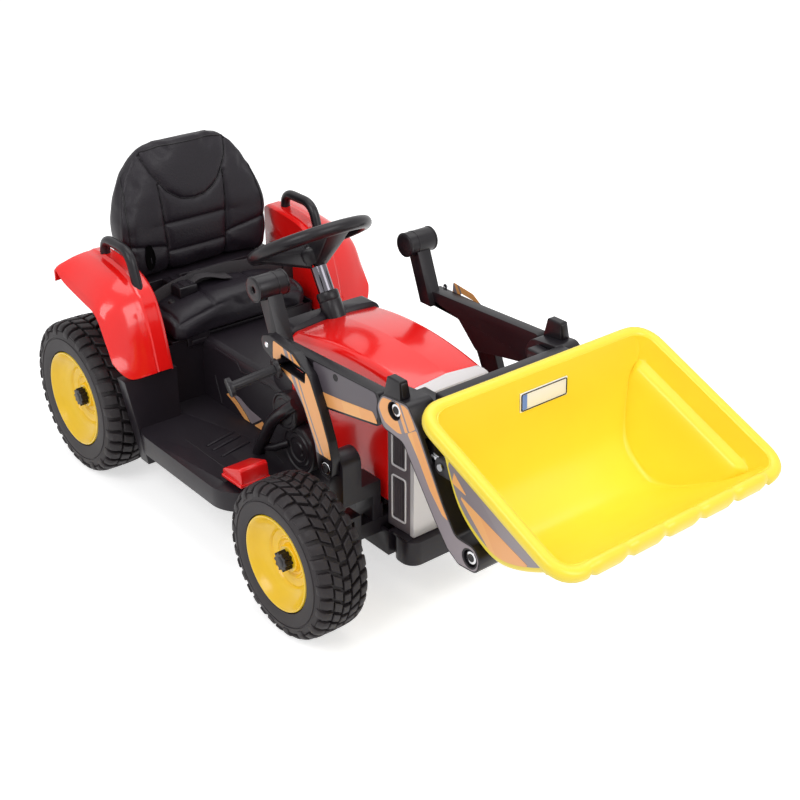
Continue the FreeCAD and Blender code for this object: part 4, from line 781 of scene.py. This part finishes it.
# Turned screw heads, and dark discs painted as the shade in bolt sockets and a boom hole: look, slot, profile and
# places
heads = (
    ("bolt_sockets", "dark", "axle_steel", [(0.05, 0.3), (4.2, 0.3), (5.0, 0.7), (5.6, 0.3), (5.6, -1)],
     ((ELBOW.x, 148, ELBOW.y), (BUCKET_PIVOT.x, 148, BUCKET_PIVOT.y), (113, TOWER_FACE, 228))),
    ("tower_screw", "chrome", "axle_steel", [(0.05, 1.4), (2.6, 1.4), (3.8, 1.0), (4.4, 0.2), (4.4, -1)],
     ((-19, TOWER_FACE, 367),)),
    ("boom_hole", "dark", "loader_black", [(0.05, 0.15), (4.0, 0.15), (4.6, 0.5), (5.2, 0.3), (5.4, -1)],
     ((122, BOOM_FACE + 0.5, 366),)))


def lay(films, face, hand, side):
    for name, look, gap, outline in films:
        film = plate(rounded(outline, 3, 3), side * (face + gap), side * (face + gap + FILM))
        put(f"{name}_{hand}", film, look, "loader")


def arm_film(hand, side):
    """A thin film on the outer face of a front arm, drawn in from its edges."""
    work = closed_mesh(f"front_arm_{hand}")
    work.faces.ensure_lookup_table()
    off = [f for f in work.faces
           if f.normal.y * side < 0.99 or abs(f.calc_center_median().y / MM - side * BOOM_FACE) > 0.2]
    bmesh.ops.delete(work, geom=off, context="FACES")
    join_flats(work, 0.5)
    rim = bmesh.ops.inset_region(work, faces=work.faces[:], thickness=2.4 * MM, use_boundary=True)["faces"]
    bmesh.ops.delete(work, geom=rim, context="FACES")
    film = put(f"front_arm_film_{hand}", gathered(work, Vector((0, side * 0.35, 0))), "ash", "loader")
    shape(film, thick(0.5, 0.0))


def cross(a, b):
    return a.x * b.y - a.y * b.x


def elbow_part(side):
    """A film round the elbow's bolt: from a round hole straight out to its outline."""
    corners = [(214, 362), (222, 378), (271, 382.5), (289, 357.5), (272, 347), (256, 338), (226, 344)]
    outline = rounded(corners, 5, 3)
    low, high = side * (BOOM_FACE + OVER), side * (BOOM_FACE + OVER + FILM)
    rows = []
    for toward in map(Vector, circle(13, 28)):
        reach = 1.05
        for p, q in zip(outline, outline[1:] + outline[:1]):
            edge, gap = q - p, p - ELBOW
            slant = cross(toward, edge)
            if abs(slant) < 1e-9:
                continue
            t, u = cross(gap, edge) / slant, cross(gap, toward) / slant
            if t > 0 and -1e-6 <= u <= 1 + 1e-6:
                reach = max(reach, t)
        near, far = ELBOW + toward, ELBOW + toward * reach
        rows.append([(near.x, low, near.y), (far.x, low, far.y), (far.x, high, far.y), (near.x, high, near.y)])
    return grid(rows, wrap_rows=True, wrap_columns=True)


for hand, side in SIDES:
    lay(tower_films, TOWER_FACE, hand, side)
    arm_film(hand, side)
    lay(boom_films, BOOM_FACE, hand, side)
    put(f"elbow_film_{hand}", elbow_part(side), "film", "loader")
    for name, look, slot, profile, places in heads:
        turns = [spun((x, side * y, z), (0, side, 0), profile, 28) for x, y, z in places]
        put(f"{name}_{hand}", joined(*turns), look, "loader")
    grip_ring = turned([(17.2, -1.6), (18.5, -1.2), (18.7, 0), (18.5, 1.2), (17.2, 1.6)], 48)
    rings = [moved(grip_ring, GRIP_X, side * y, GRIP_Z) for y in (111.5, 126.5, 158.5)]
    put(f"grip_rings_{hand}", joined(*rings), "satin", "loader")
    rib = plate([(249, 386), (258.5, 386), (254, 406), (247, 406)], side * 136, side * 146)
    shape(put(f"knob_rib_{hand}", rib, "satin", "loader"), edges(1.2, 2))


# Steering column, engine mouldings, grilles and small body details

DOWN = Vector((0.5, 0, -0.8660254))  # along the steering column
WHEEL_CENTRE = Vector((-140, 0, 445))
WEB_ENDS = ((84, 21, 1, 7), (9, 11, 3, 41))  # distance out, half width, and depths under the wheel
PLATFORM_Z = 129.8
TUNNEL_FACE = -74.5


def on_column(profile, axis=DOWN, steps=48):
    return spun(WHEEL_CENTRE, axis, profile, steps)


sleeve = on_column([(0.05, 40), (12, 40), (12.2, 41), (12.2, 82), (12, 84), (0.05, 84)])
put("column_tube", sleeve, "gunmetal", "chassis", ["column_sleeve"])
boot = on_column([(11, 79), (15.5, 79.5), (17, 82), (17, 92), (16.2, 94), (17, 96), (17.4, 114), (16.5, 128),
                  (0.05, 128)])
put("column_boot", boot, "satin", "chassis")
boss = on_column([(0.05, 9.0), (12, 9.4), (19, 11), (23, 14), (24, 18), (23, 28), (19, 36), (0.05, 37)])
cap = on_column([(0.05, -7.2), (9, -7.4), (10, -8.4), (10.5, -11)], -DOWN, 40)
put("steering_boss", joined(boss, cap), "satin", "steering")
webs = []
for k in range(3):
    out = Matrix.Rotation(tau * k / 3, 3, DOWN) @ Vector((0.8660254, 0, 0.5))
    across = DOWN.cross(out)
    corners = [WHEEL_CENTRE + out * far + across * (s * half) + DOWN * d
               for far, half, *depths in WEB_ENDS for s in (-1, 1) for d in depths]
    webs.append((corners, BLOCK_FACES))
shape(put("steering_webs", joined(*webs), "satin", "steering"), edges(2.5, 3))

pulley = turned([(0.05, 20), (29, 20), (30, 4), (30, 0), (29, -1.6), (27, -1.6), (25, 0), (21, 0), (19.5, -1.4),
                 (10, -1.4), (8, 0.2), (7.6, 5), (0.05, 5)], 64)
drum = turned([(0.05, 18), (37, 18), (38, 4), (38, 0), (37, -1.4), (34, -1.4), (32, 0.4), (27, 0.4), (25.5, -1.2),
               (20, -1.2), (18, 0.4), (12, 0.4), (10.5, -1.4), (0.05, -1.4)], 64)
bend = spline([(-38, -108, 247), (-52, -116, 234), (-84, -117, 204), (-108, -117, 166), (-130, -116, 131)], 30)
branch = [(-112, -112, 146), (-92, -110, 153), (-58, -104, 174)]
engine = [moved(pulley, -62, -110, 226), moved(drum, -36, -106, 172), tube(bend, circle(9.5, 20)),
          tube(branch, circle(6.5, 16))]
# A flat dark disc in each pulley: painted shade for its hole
hole = moved(turned([(0.05, 0.4), (6.8, 0.4), (7.4, 1.5)], 32), -62, -110.6, 226)
put("engine_dressed", on_both_sides(*engine), "satin", "chassis", ["engine_mouldings"])
put("engine_hole_shade", on_both_sides(hole), "dark", "chassis")


def hood_face(x):
    """The y of the hood's right side, which tapers forwards."""
    return -(84 - 16 * (x + 78) / 250)


frames, slats, shade_backs = [], [], []
for low in (128, 214):
    corners = rounded([(141.5, low), (169, low), (169, low + 70), (141.5, low + 70)], 4, 4)
    frames.append(tube([(p.x, hood_face(p.x) - 0.3, p.y) for p in corners], circle(1.5, 10), closed=True))
    # A dark sheet behind the slats: painted shade inside the vent
    shade_backs.append(block(143, 168, hood_face(168) + 1.6, hood_face(168) + 2.4, low + 1, low + 69))
    for x in [145.0 + 3.5 * k for k in range(7)]:
        slats.append(block(x - 0.45, x + 0.45, hood_face(x) + 0.6, hood_face(x) + 2.8, low + 1.5, low + 68.5))
ribs = []
for x in (-207, -190, -165):
    path = [(x + 12, -168, PLATFORM_Z), (x + 6, -139, PLATFORM_Z + 0.8), (x, -110, PLATFORM_Z)]
    ribs.append(tube(path, circle(3.0, 12, 0.7)))
for line in ([(-313, 178), (-297, 133)], [(-307, 228), (-244, 227), (-233, 215), (-151, 221), (-134, 216)]):
    ribs.append(tube([(x, TUNNEL_FACE + 0.5, z) for x, z in line], circle(1.6, 10)))
lines = [tube([(x, y, PLATFORM_Z - 0.2) for x, y in line], circle(0.9, 8))
         for line in ([(-234, -182), (-124, -182)], [(-106, -100), (-75, -106)])]
details = [
    ("vent_frames", frames, "silver", "grille_grey"), ("vent_slats", slats, "grey", "grille_grey"),
    ("vent_backs", shade_backs, "dark", "grille_grey"), ("platform_ribs", ribs, "black", "tub_black"),
    ("platform_lines", lines, "dark", "tub_black")]
for name, look, outline in (
        ("swoosh", "band", ((-281, 157), (-255, 147), (-236, 135), (-230, 132), (-214, 132), (-226, 142),
                            (-247, 155), (-268, 164))),
        ("shadow", "ash", ((-264, 166), (-242, 166), (-213, 156), (-180, 152), (-194, 142), (-208, 132.5),
                           (-212, 132.5), (-224, 143.5), (-245, 156.5))),
        ("upper", "band", ((-189, 141), (-178, 149), (-168, 140), (-174, 132), (-202, 132)))):
    film = plate(rounded(outline, 2, 3), TUNNEL_FACE - LAID - FILM, TUNNEL_FACE - LAID)
    details.append(("tunnel_" + name, [film], look, "loader_orange"))
for hand, side in MIRRORS:
    for name, parts, look, slot in details:
        put(f"{name}_{hand}", mirrored(joined(*parts), side), look, "chassis")
tab = joined(block(-350, -343, -103, -61, 224, 250), block(-346, -340.5, -96, -68, 228, 236))
shape(put("seat_latch_tab", tab, "black", "chassis"), edges(1.6, 3))
wedge = [(-91, 139), (-91, 151), (-85, 155), (-47, 169), (-42, 166), (-40, 152), (-40, 141)]
flange = [(-92, 137.5), (-92, 143.5), (-39, 145.5), (-39, 139.5)]
pedal = joined(plate(wedge, -205, -157), plate(flange, -207, -155), block(-92, -86.5, -200, -162, 132.4, 140))
shape(put("pedal_dressed", pedal, "switch", body_of["pedal"], ["pedal"]), edges(1.8, 3))


# Bucket

BUCKET_X, BUCKET_Z = 351.65, 420  # the back edge of its mouth
BUCKET_PITCH = radians(23.1)
MOUTH_LONG, MOUTH_HALF, BOWL_DEEP = 258, 188, 146
MOUTH_CORNER = 26
LEDGE, LEDGE_AT, LEDGE_FALL = 13.0, 31, 6  # its width, how far under the rim it starts, and over what depth
TOOTH_PITCH, TEETH_HALF = 62, 158
PLATE_ALONG, PLATE_DEEP, PLATE_THICK = 12.83, -15.94, 2  # the number plate's top edge
PLATE_SIN, PLATE_COS = 0.428, 0.9037


def bucket_at(along, y, deep):
    """A place given along the mouth from its back edge, across it and out of it."""
    return Vector((BUCKET_X + along * cos(BUCKET_PITCH) + deep * sin(BUCKET_PITCH), y,
                   BUCKET_Z - along * sin(BUCKET_PITCH) + deep * cos(BUCKET_PITCH)))


bowl_line = [(0, 0), (0.16, -0.58), (0.29, -0.90), (0.51, -1.0), (0.65, -0.886), (0.83, -0.507), (1.0, 0)]
bowl_line = rounded([(a * MOUTH_LONG, d * BOWL_DEEP) for a, d in bowl_line], (0, 30, 34, 40, 40, 34, 0), 6,
                    closed=False)
bowl_line = spline([(a, 0, d) for a, d in bowl_line], 64)


def bowl_depth(along):
    for p, q in zip(bowl_line, bowl_line[1:]):
        if p.x <= along <= q.x:
            return -(p.z + (q.z - p.z) * (along - p.x) / (q.x - p.x))
    return 0.0


def bowl_half(along, depth, d):
    """Half the bowl's width at d under the rim, where the bowl is depth deep."""
    inset = 0.0
    for gap in (along, MOUTH_LONG - along):
        if gap < MOUTH_CORNER:
            inset = max(inset, MOUTH_CORNER - sqrt(MOUTH_CORNER ** 2 - (MOUTH_CORNER - gap) ** 2))
    ledge = clamp((depth - 44) / 20)
    taper = (38 - 7 * ledge) / BOWL_DEEP
    return MOUTH_HALF - inset - taper * d - LEDGE * ledge * clamp((d - LEDGE_AT) / LEDGE_FALL)


def bowl_part():
    """The bowl as one skin: sections across it, from the back edge down and up to the lip."""
    stops = (12, 24, 30, 31.5, 33, 35, 36.5, 38, 52, 72, 96)
    rows = []
    for p in bowl_line:
        along, depth = p.x, -p.z
        fillet = min(11.0, depth * 0.5)
        deep = depth - fillet
        # Stops below the fillet fall together on its edge, so that every section has as many points
        down = [d for d in stops if d < deep - 2]
        down = [0.0] + down + [deep] * (1 + len(stops) - len(down))
        profile = [(bowl_half(along, depth, d), -d) for d in down]
        wide = profile[-1][0]
        for k in range(1, 7):
            t = pi / 2 * k / 6
            profile.append((wide - fillet * (1 - cos(t)), -deep - fillet * sin(t)))
        inner = profile[-1][0]
        profile += [(inner * (1 - k / 6), -depth) for k in range(1, 7)]
        rows.append([bucket_at(along, y, d) for y, d in profile + flipped(profile[-2::-1])])
    return grid(rows)


def rim_roll():
    """The rolled rim round the mouth, scalloped into five teeth along the lip."""
    ends, wide = (-1, MOUTH_LONG + 1), MOUTH_HALF + 1
    flat = rounded([(ends[0], -wide), (ends[1], -wide), (ends[1], wide), (ends[0], wide)], 30, 8)
    dense = []
    for i, p in enumerate(flat):
        q = flat[(i + 1) % len(flat)]
        steps = max(1, int((q - p).length / 4))
        dense += [p.lerp(q, k / steps) for k in range(steps)]
    rows = []
    for i, p in enumerate(dense):
        along = (dense[(i + 1) % len(dense)] - dense[i - 1]).normalized()
        out = Vector((along.y, -along.x))
        reach, drop, rise = 12.0, 12.0, 0.0
        if out.x > 0.5 and abs(p.y) < TEETH_HALF:
            wave = (p.y / TOOTH_PITCH + 0.5) % 1.0
            tooth = min(1.0, 1.7 * sin(pi * wave) ** 0.8)
            reach, drop, rise = 8.5 + 3.5 * tooth, 9.0 + 5.0 * tooth, 4.5 * tooth
        section = [(-5.2, -7.0), (-5.0, -1.5), (-3.6, 1.6 + 0.4 * rise), (0.0, 3.2 + rise),
                   (reach * 0.45, 3.6 + rise), (reach * 0.8, 2.4 + 0.5 * rise), (reach, -0.8),
                   (reach + 0.4, -drop * 0.5), (reach - 0.4, -drop + 1.2), (reach - 2.4, -drop),
                   (reach - 4.2, -drop + 1.0), (reach - 4.6, -5.0), (1.5, -4.4), (-1.5, -7.0)]
        rows.append([bucket_at(p.x + out.x * a, p.y + out.y * a, b) for a, b in section])
    return grid(rows, wrap_rows=True, wrap_columns=True)


def wall_film(ends, top, bottom, gap, side):
    """A film on a side wall, between two lines of (depth, slope) that start at its first end."""
    rows = []
    for k in range(41):
        along = ends[0] + (ends[1] - ends[0]) * k / 40
        depth = bowl_depth(along)
        d0, d1 = (line[0] + line[1] * (along - ends[0]) for line in (top, bottom))
        d1 = max(d0 + 0.2, min(d1, depth - 15))
        down = [d0 + (d1 - d0) * m / 12 for m in range(13)]
        rows.append([bucket_at(along, side * (bowl_half(along, depth, d) + gap), -d) for d in down])
    return grid(rows)


bowl = put("bucket_bowl", bowl_part(), "yellow", "bucket_body", ["bucket"], angle=50)
shape(bowl, thick(4.0, -1.0), angle=50)
put("bucket_rim", rim_roll(), "yellow", "bucket_body", angle=60)
wall_films = (("panel", "ash", (40, 222), (42, 0), (140, 0), 0.5),
              ("swoosh", "band", (72, 196), (92, -0.12), (96, 0.5), 0.9),
              ("arrow", "band", (52, 78), (66, 0.5), (86, -0.2), 0.9))
for hand, side in SIDES:
    for name, look, ends, top, bottom, gap in wall_films:
        film = put(f"bucket_{name}_{hand}", wall_film(ends, top, bottom, gap, side), look, "bucket_body",
                   angle=60)
        shape(film, thick(FILM, 0.0), angle=60)
eye = [tuple(BUCKET_PIVOT + Vector(p)) for p in circle(17, 24)[12:] + [(17, 0)]]
cheek = rounded([(324.4, 313.9), (361, 313.9), (358, 337.9), (324.4, 337.9)], (11, 0, 0, 11), 6)
lugs = [plate([(376, 253)] + eye + [(416, 239)], side * 85.6, side * 111.2) for side in (-1, 1)]
lugs += [plate(cheek, y, y + 5) for y in (-150.3, -136.7)]
shape(put("bucket_lugs", joined(*lugs), "satin", "bucket_body"), edges(1.2, 3))
half_pin = [(0.05, -12), (4.6, -12), (5, -11.4), (5, -9.6), (3, -9.4)]
pin = spun((336.4, -141, 325.9), (0, 1, 0), half_pin + [(r, -a) for r, a in half_pin[::-1]], 24)
put("tilt_pin", pin, "steel", "bucket_body")


def plate_at(y, s, lift):
    """A place on the number plate's front face: across, down from its top edge and out of it."""
    out = PLATE_THICK + lift
    return bucket_at(PLATE_ALONG + PLATE_SIN * s + PLATE_COS * out, y, PLATE_DEEP - PLATE_COS * s + PLATE_SIN * out)


border = rounded([(-39.4, 1.6), (39.4, 1.6), (39.4, 24.4), (-39.4, 24.4)], 3, 4)
border = tube([plate_at(p.x, p.y, 0.2) for p in border], circle(0.8, 8), closed=True)
put("plate_border", border, "dark", "bucket_body")
corners = [plate_at(y, s, lift) for y in (-38, -30) for s in (3, 23) for lift in (0.05, 0.4)]
shape(put("plate_strip", (corners, BLOCK_FACES), "blue", "bucket_body"), edges(0.1, 1))


# Floor, light and camera

FLOOR_HALF = 12
FLOOR_GREY, FLOOR_GLOW, SKY = 0.86, 0.6, 0.42
AIM = Vector((0, 0, 0.25))
LAMPS = (("key", (0.6, -2.4, 2.8), 1.8, 42), ("front", (2.8, 0.4, 2.2), 1.8, 37), ("top", (-0.4, 0.8, 3.2), 2.4, 34))
CAMERA_AT = Vector((1.4495, -1.1230, 1.1872))
AZIMUTH, ELEVATION = radians(50.867), radians(27.508)


def watched(tree, low, high):
    """The high value for rays from the camera and from mirror-like and clear surfaces, else the low one."""
    path = add(tree, "LightPath")
    seen = path.outputs["Is Camera Ray"]
    for name in ("Is Glossy Ray", "Is Transmission Ray"):
        step = add(tree, "Math", {"operation": "MAXIMUM"})
        tree.links.new(seen, step.inputs[0])
        tree.links.new(path.outputs[name], step.inputs[1])
        seen = step.outputs[0]
    return add(tree, "MapRange", Value=seen, To_Min=low, To_Max=high).outputs[0]


floor_mesh = bpy.data.meshes.new("floor")
floor_mesh.from_pydata([(x * FLOOR_HALF, y * FLOOR_HALF, 0) for x, y in ((-1, -1), (1, -1), (1, 1), (-1, 1))], [],
                       [[0, 1, 2, 3]])
floor = placed("floor", floor_mesh)
material, tree, shader = start("pale_floor")
fill(shader, Base_Color=(FLOOR_GREY, FLOOR_GREY, FLOOR_GREY, 1), Roughness=0.9, Specular_IOR_Level=0.1)
glow = add(tree, "Emission", Strength=watched(tree, 0.0, FLOOR_GLOW))
both = add(tree, "AddShader")
tree.links.new(shader.outputs[0], both.inputs[0])
tree.links.new(glow.outputs[0], both.inputs[1])
tree.links.new(both.outputs[0], tree.nodes["Material Output"].inputs["Surface"])
floor_mesh.materials.append(material)

world = bpy.data.worlds.new("studio")
scene.world = world
world.use_nodes = True
tree = world.node_tree
fill(tree.nodes["Background"], Color=(1, 1, 1, 1), Strength=watched(tree, SKY, 1.0))

for name, spot, size, power in LAMPS:
    lamp = bpy.data.lights.new(name, "AREA")
    lamp.size = size
    lamp.energy = power
    obj = placed(name, lamp)
    obj.location = spot
    obj.rotation_euler = (Vector(spot) - AIM).to_track_quat("Z", "Y").to_euler()

lens = bpy.data.cameras.new("camera")
lens.lens = 62.54
lens.sensor_width = 36
lens.shift_x = 0.0018
lens.shift_y = 0.0013
camera = placed("camera", lens)
camera.matrix_world = Matrix.LocRotScale(CAMERA_AT, Euler((pi / 2 - ELEVATION, 0, AZIMUTH)), None)
scene.camera = camera
scene.view_settings.view_transform = "Standard"
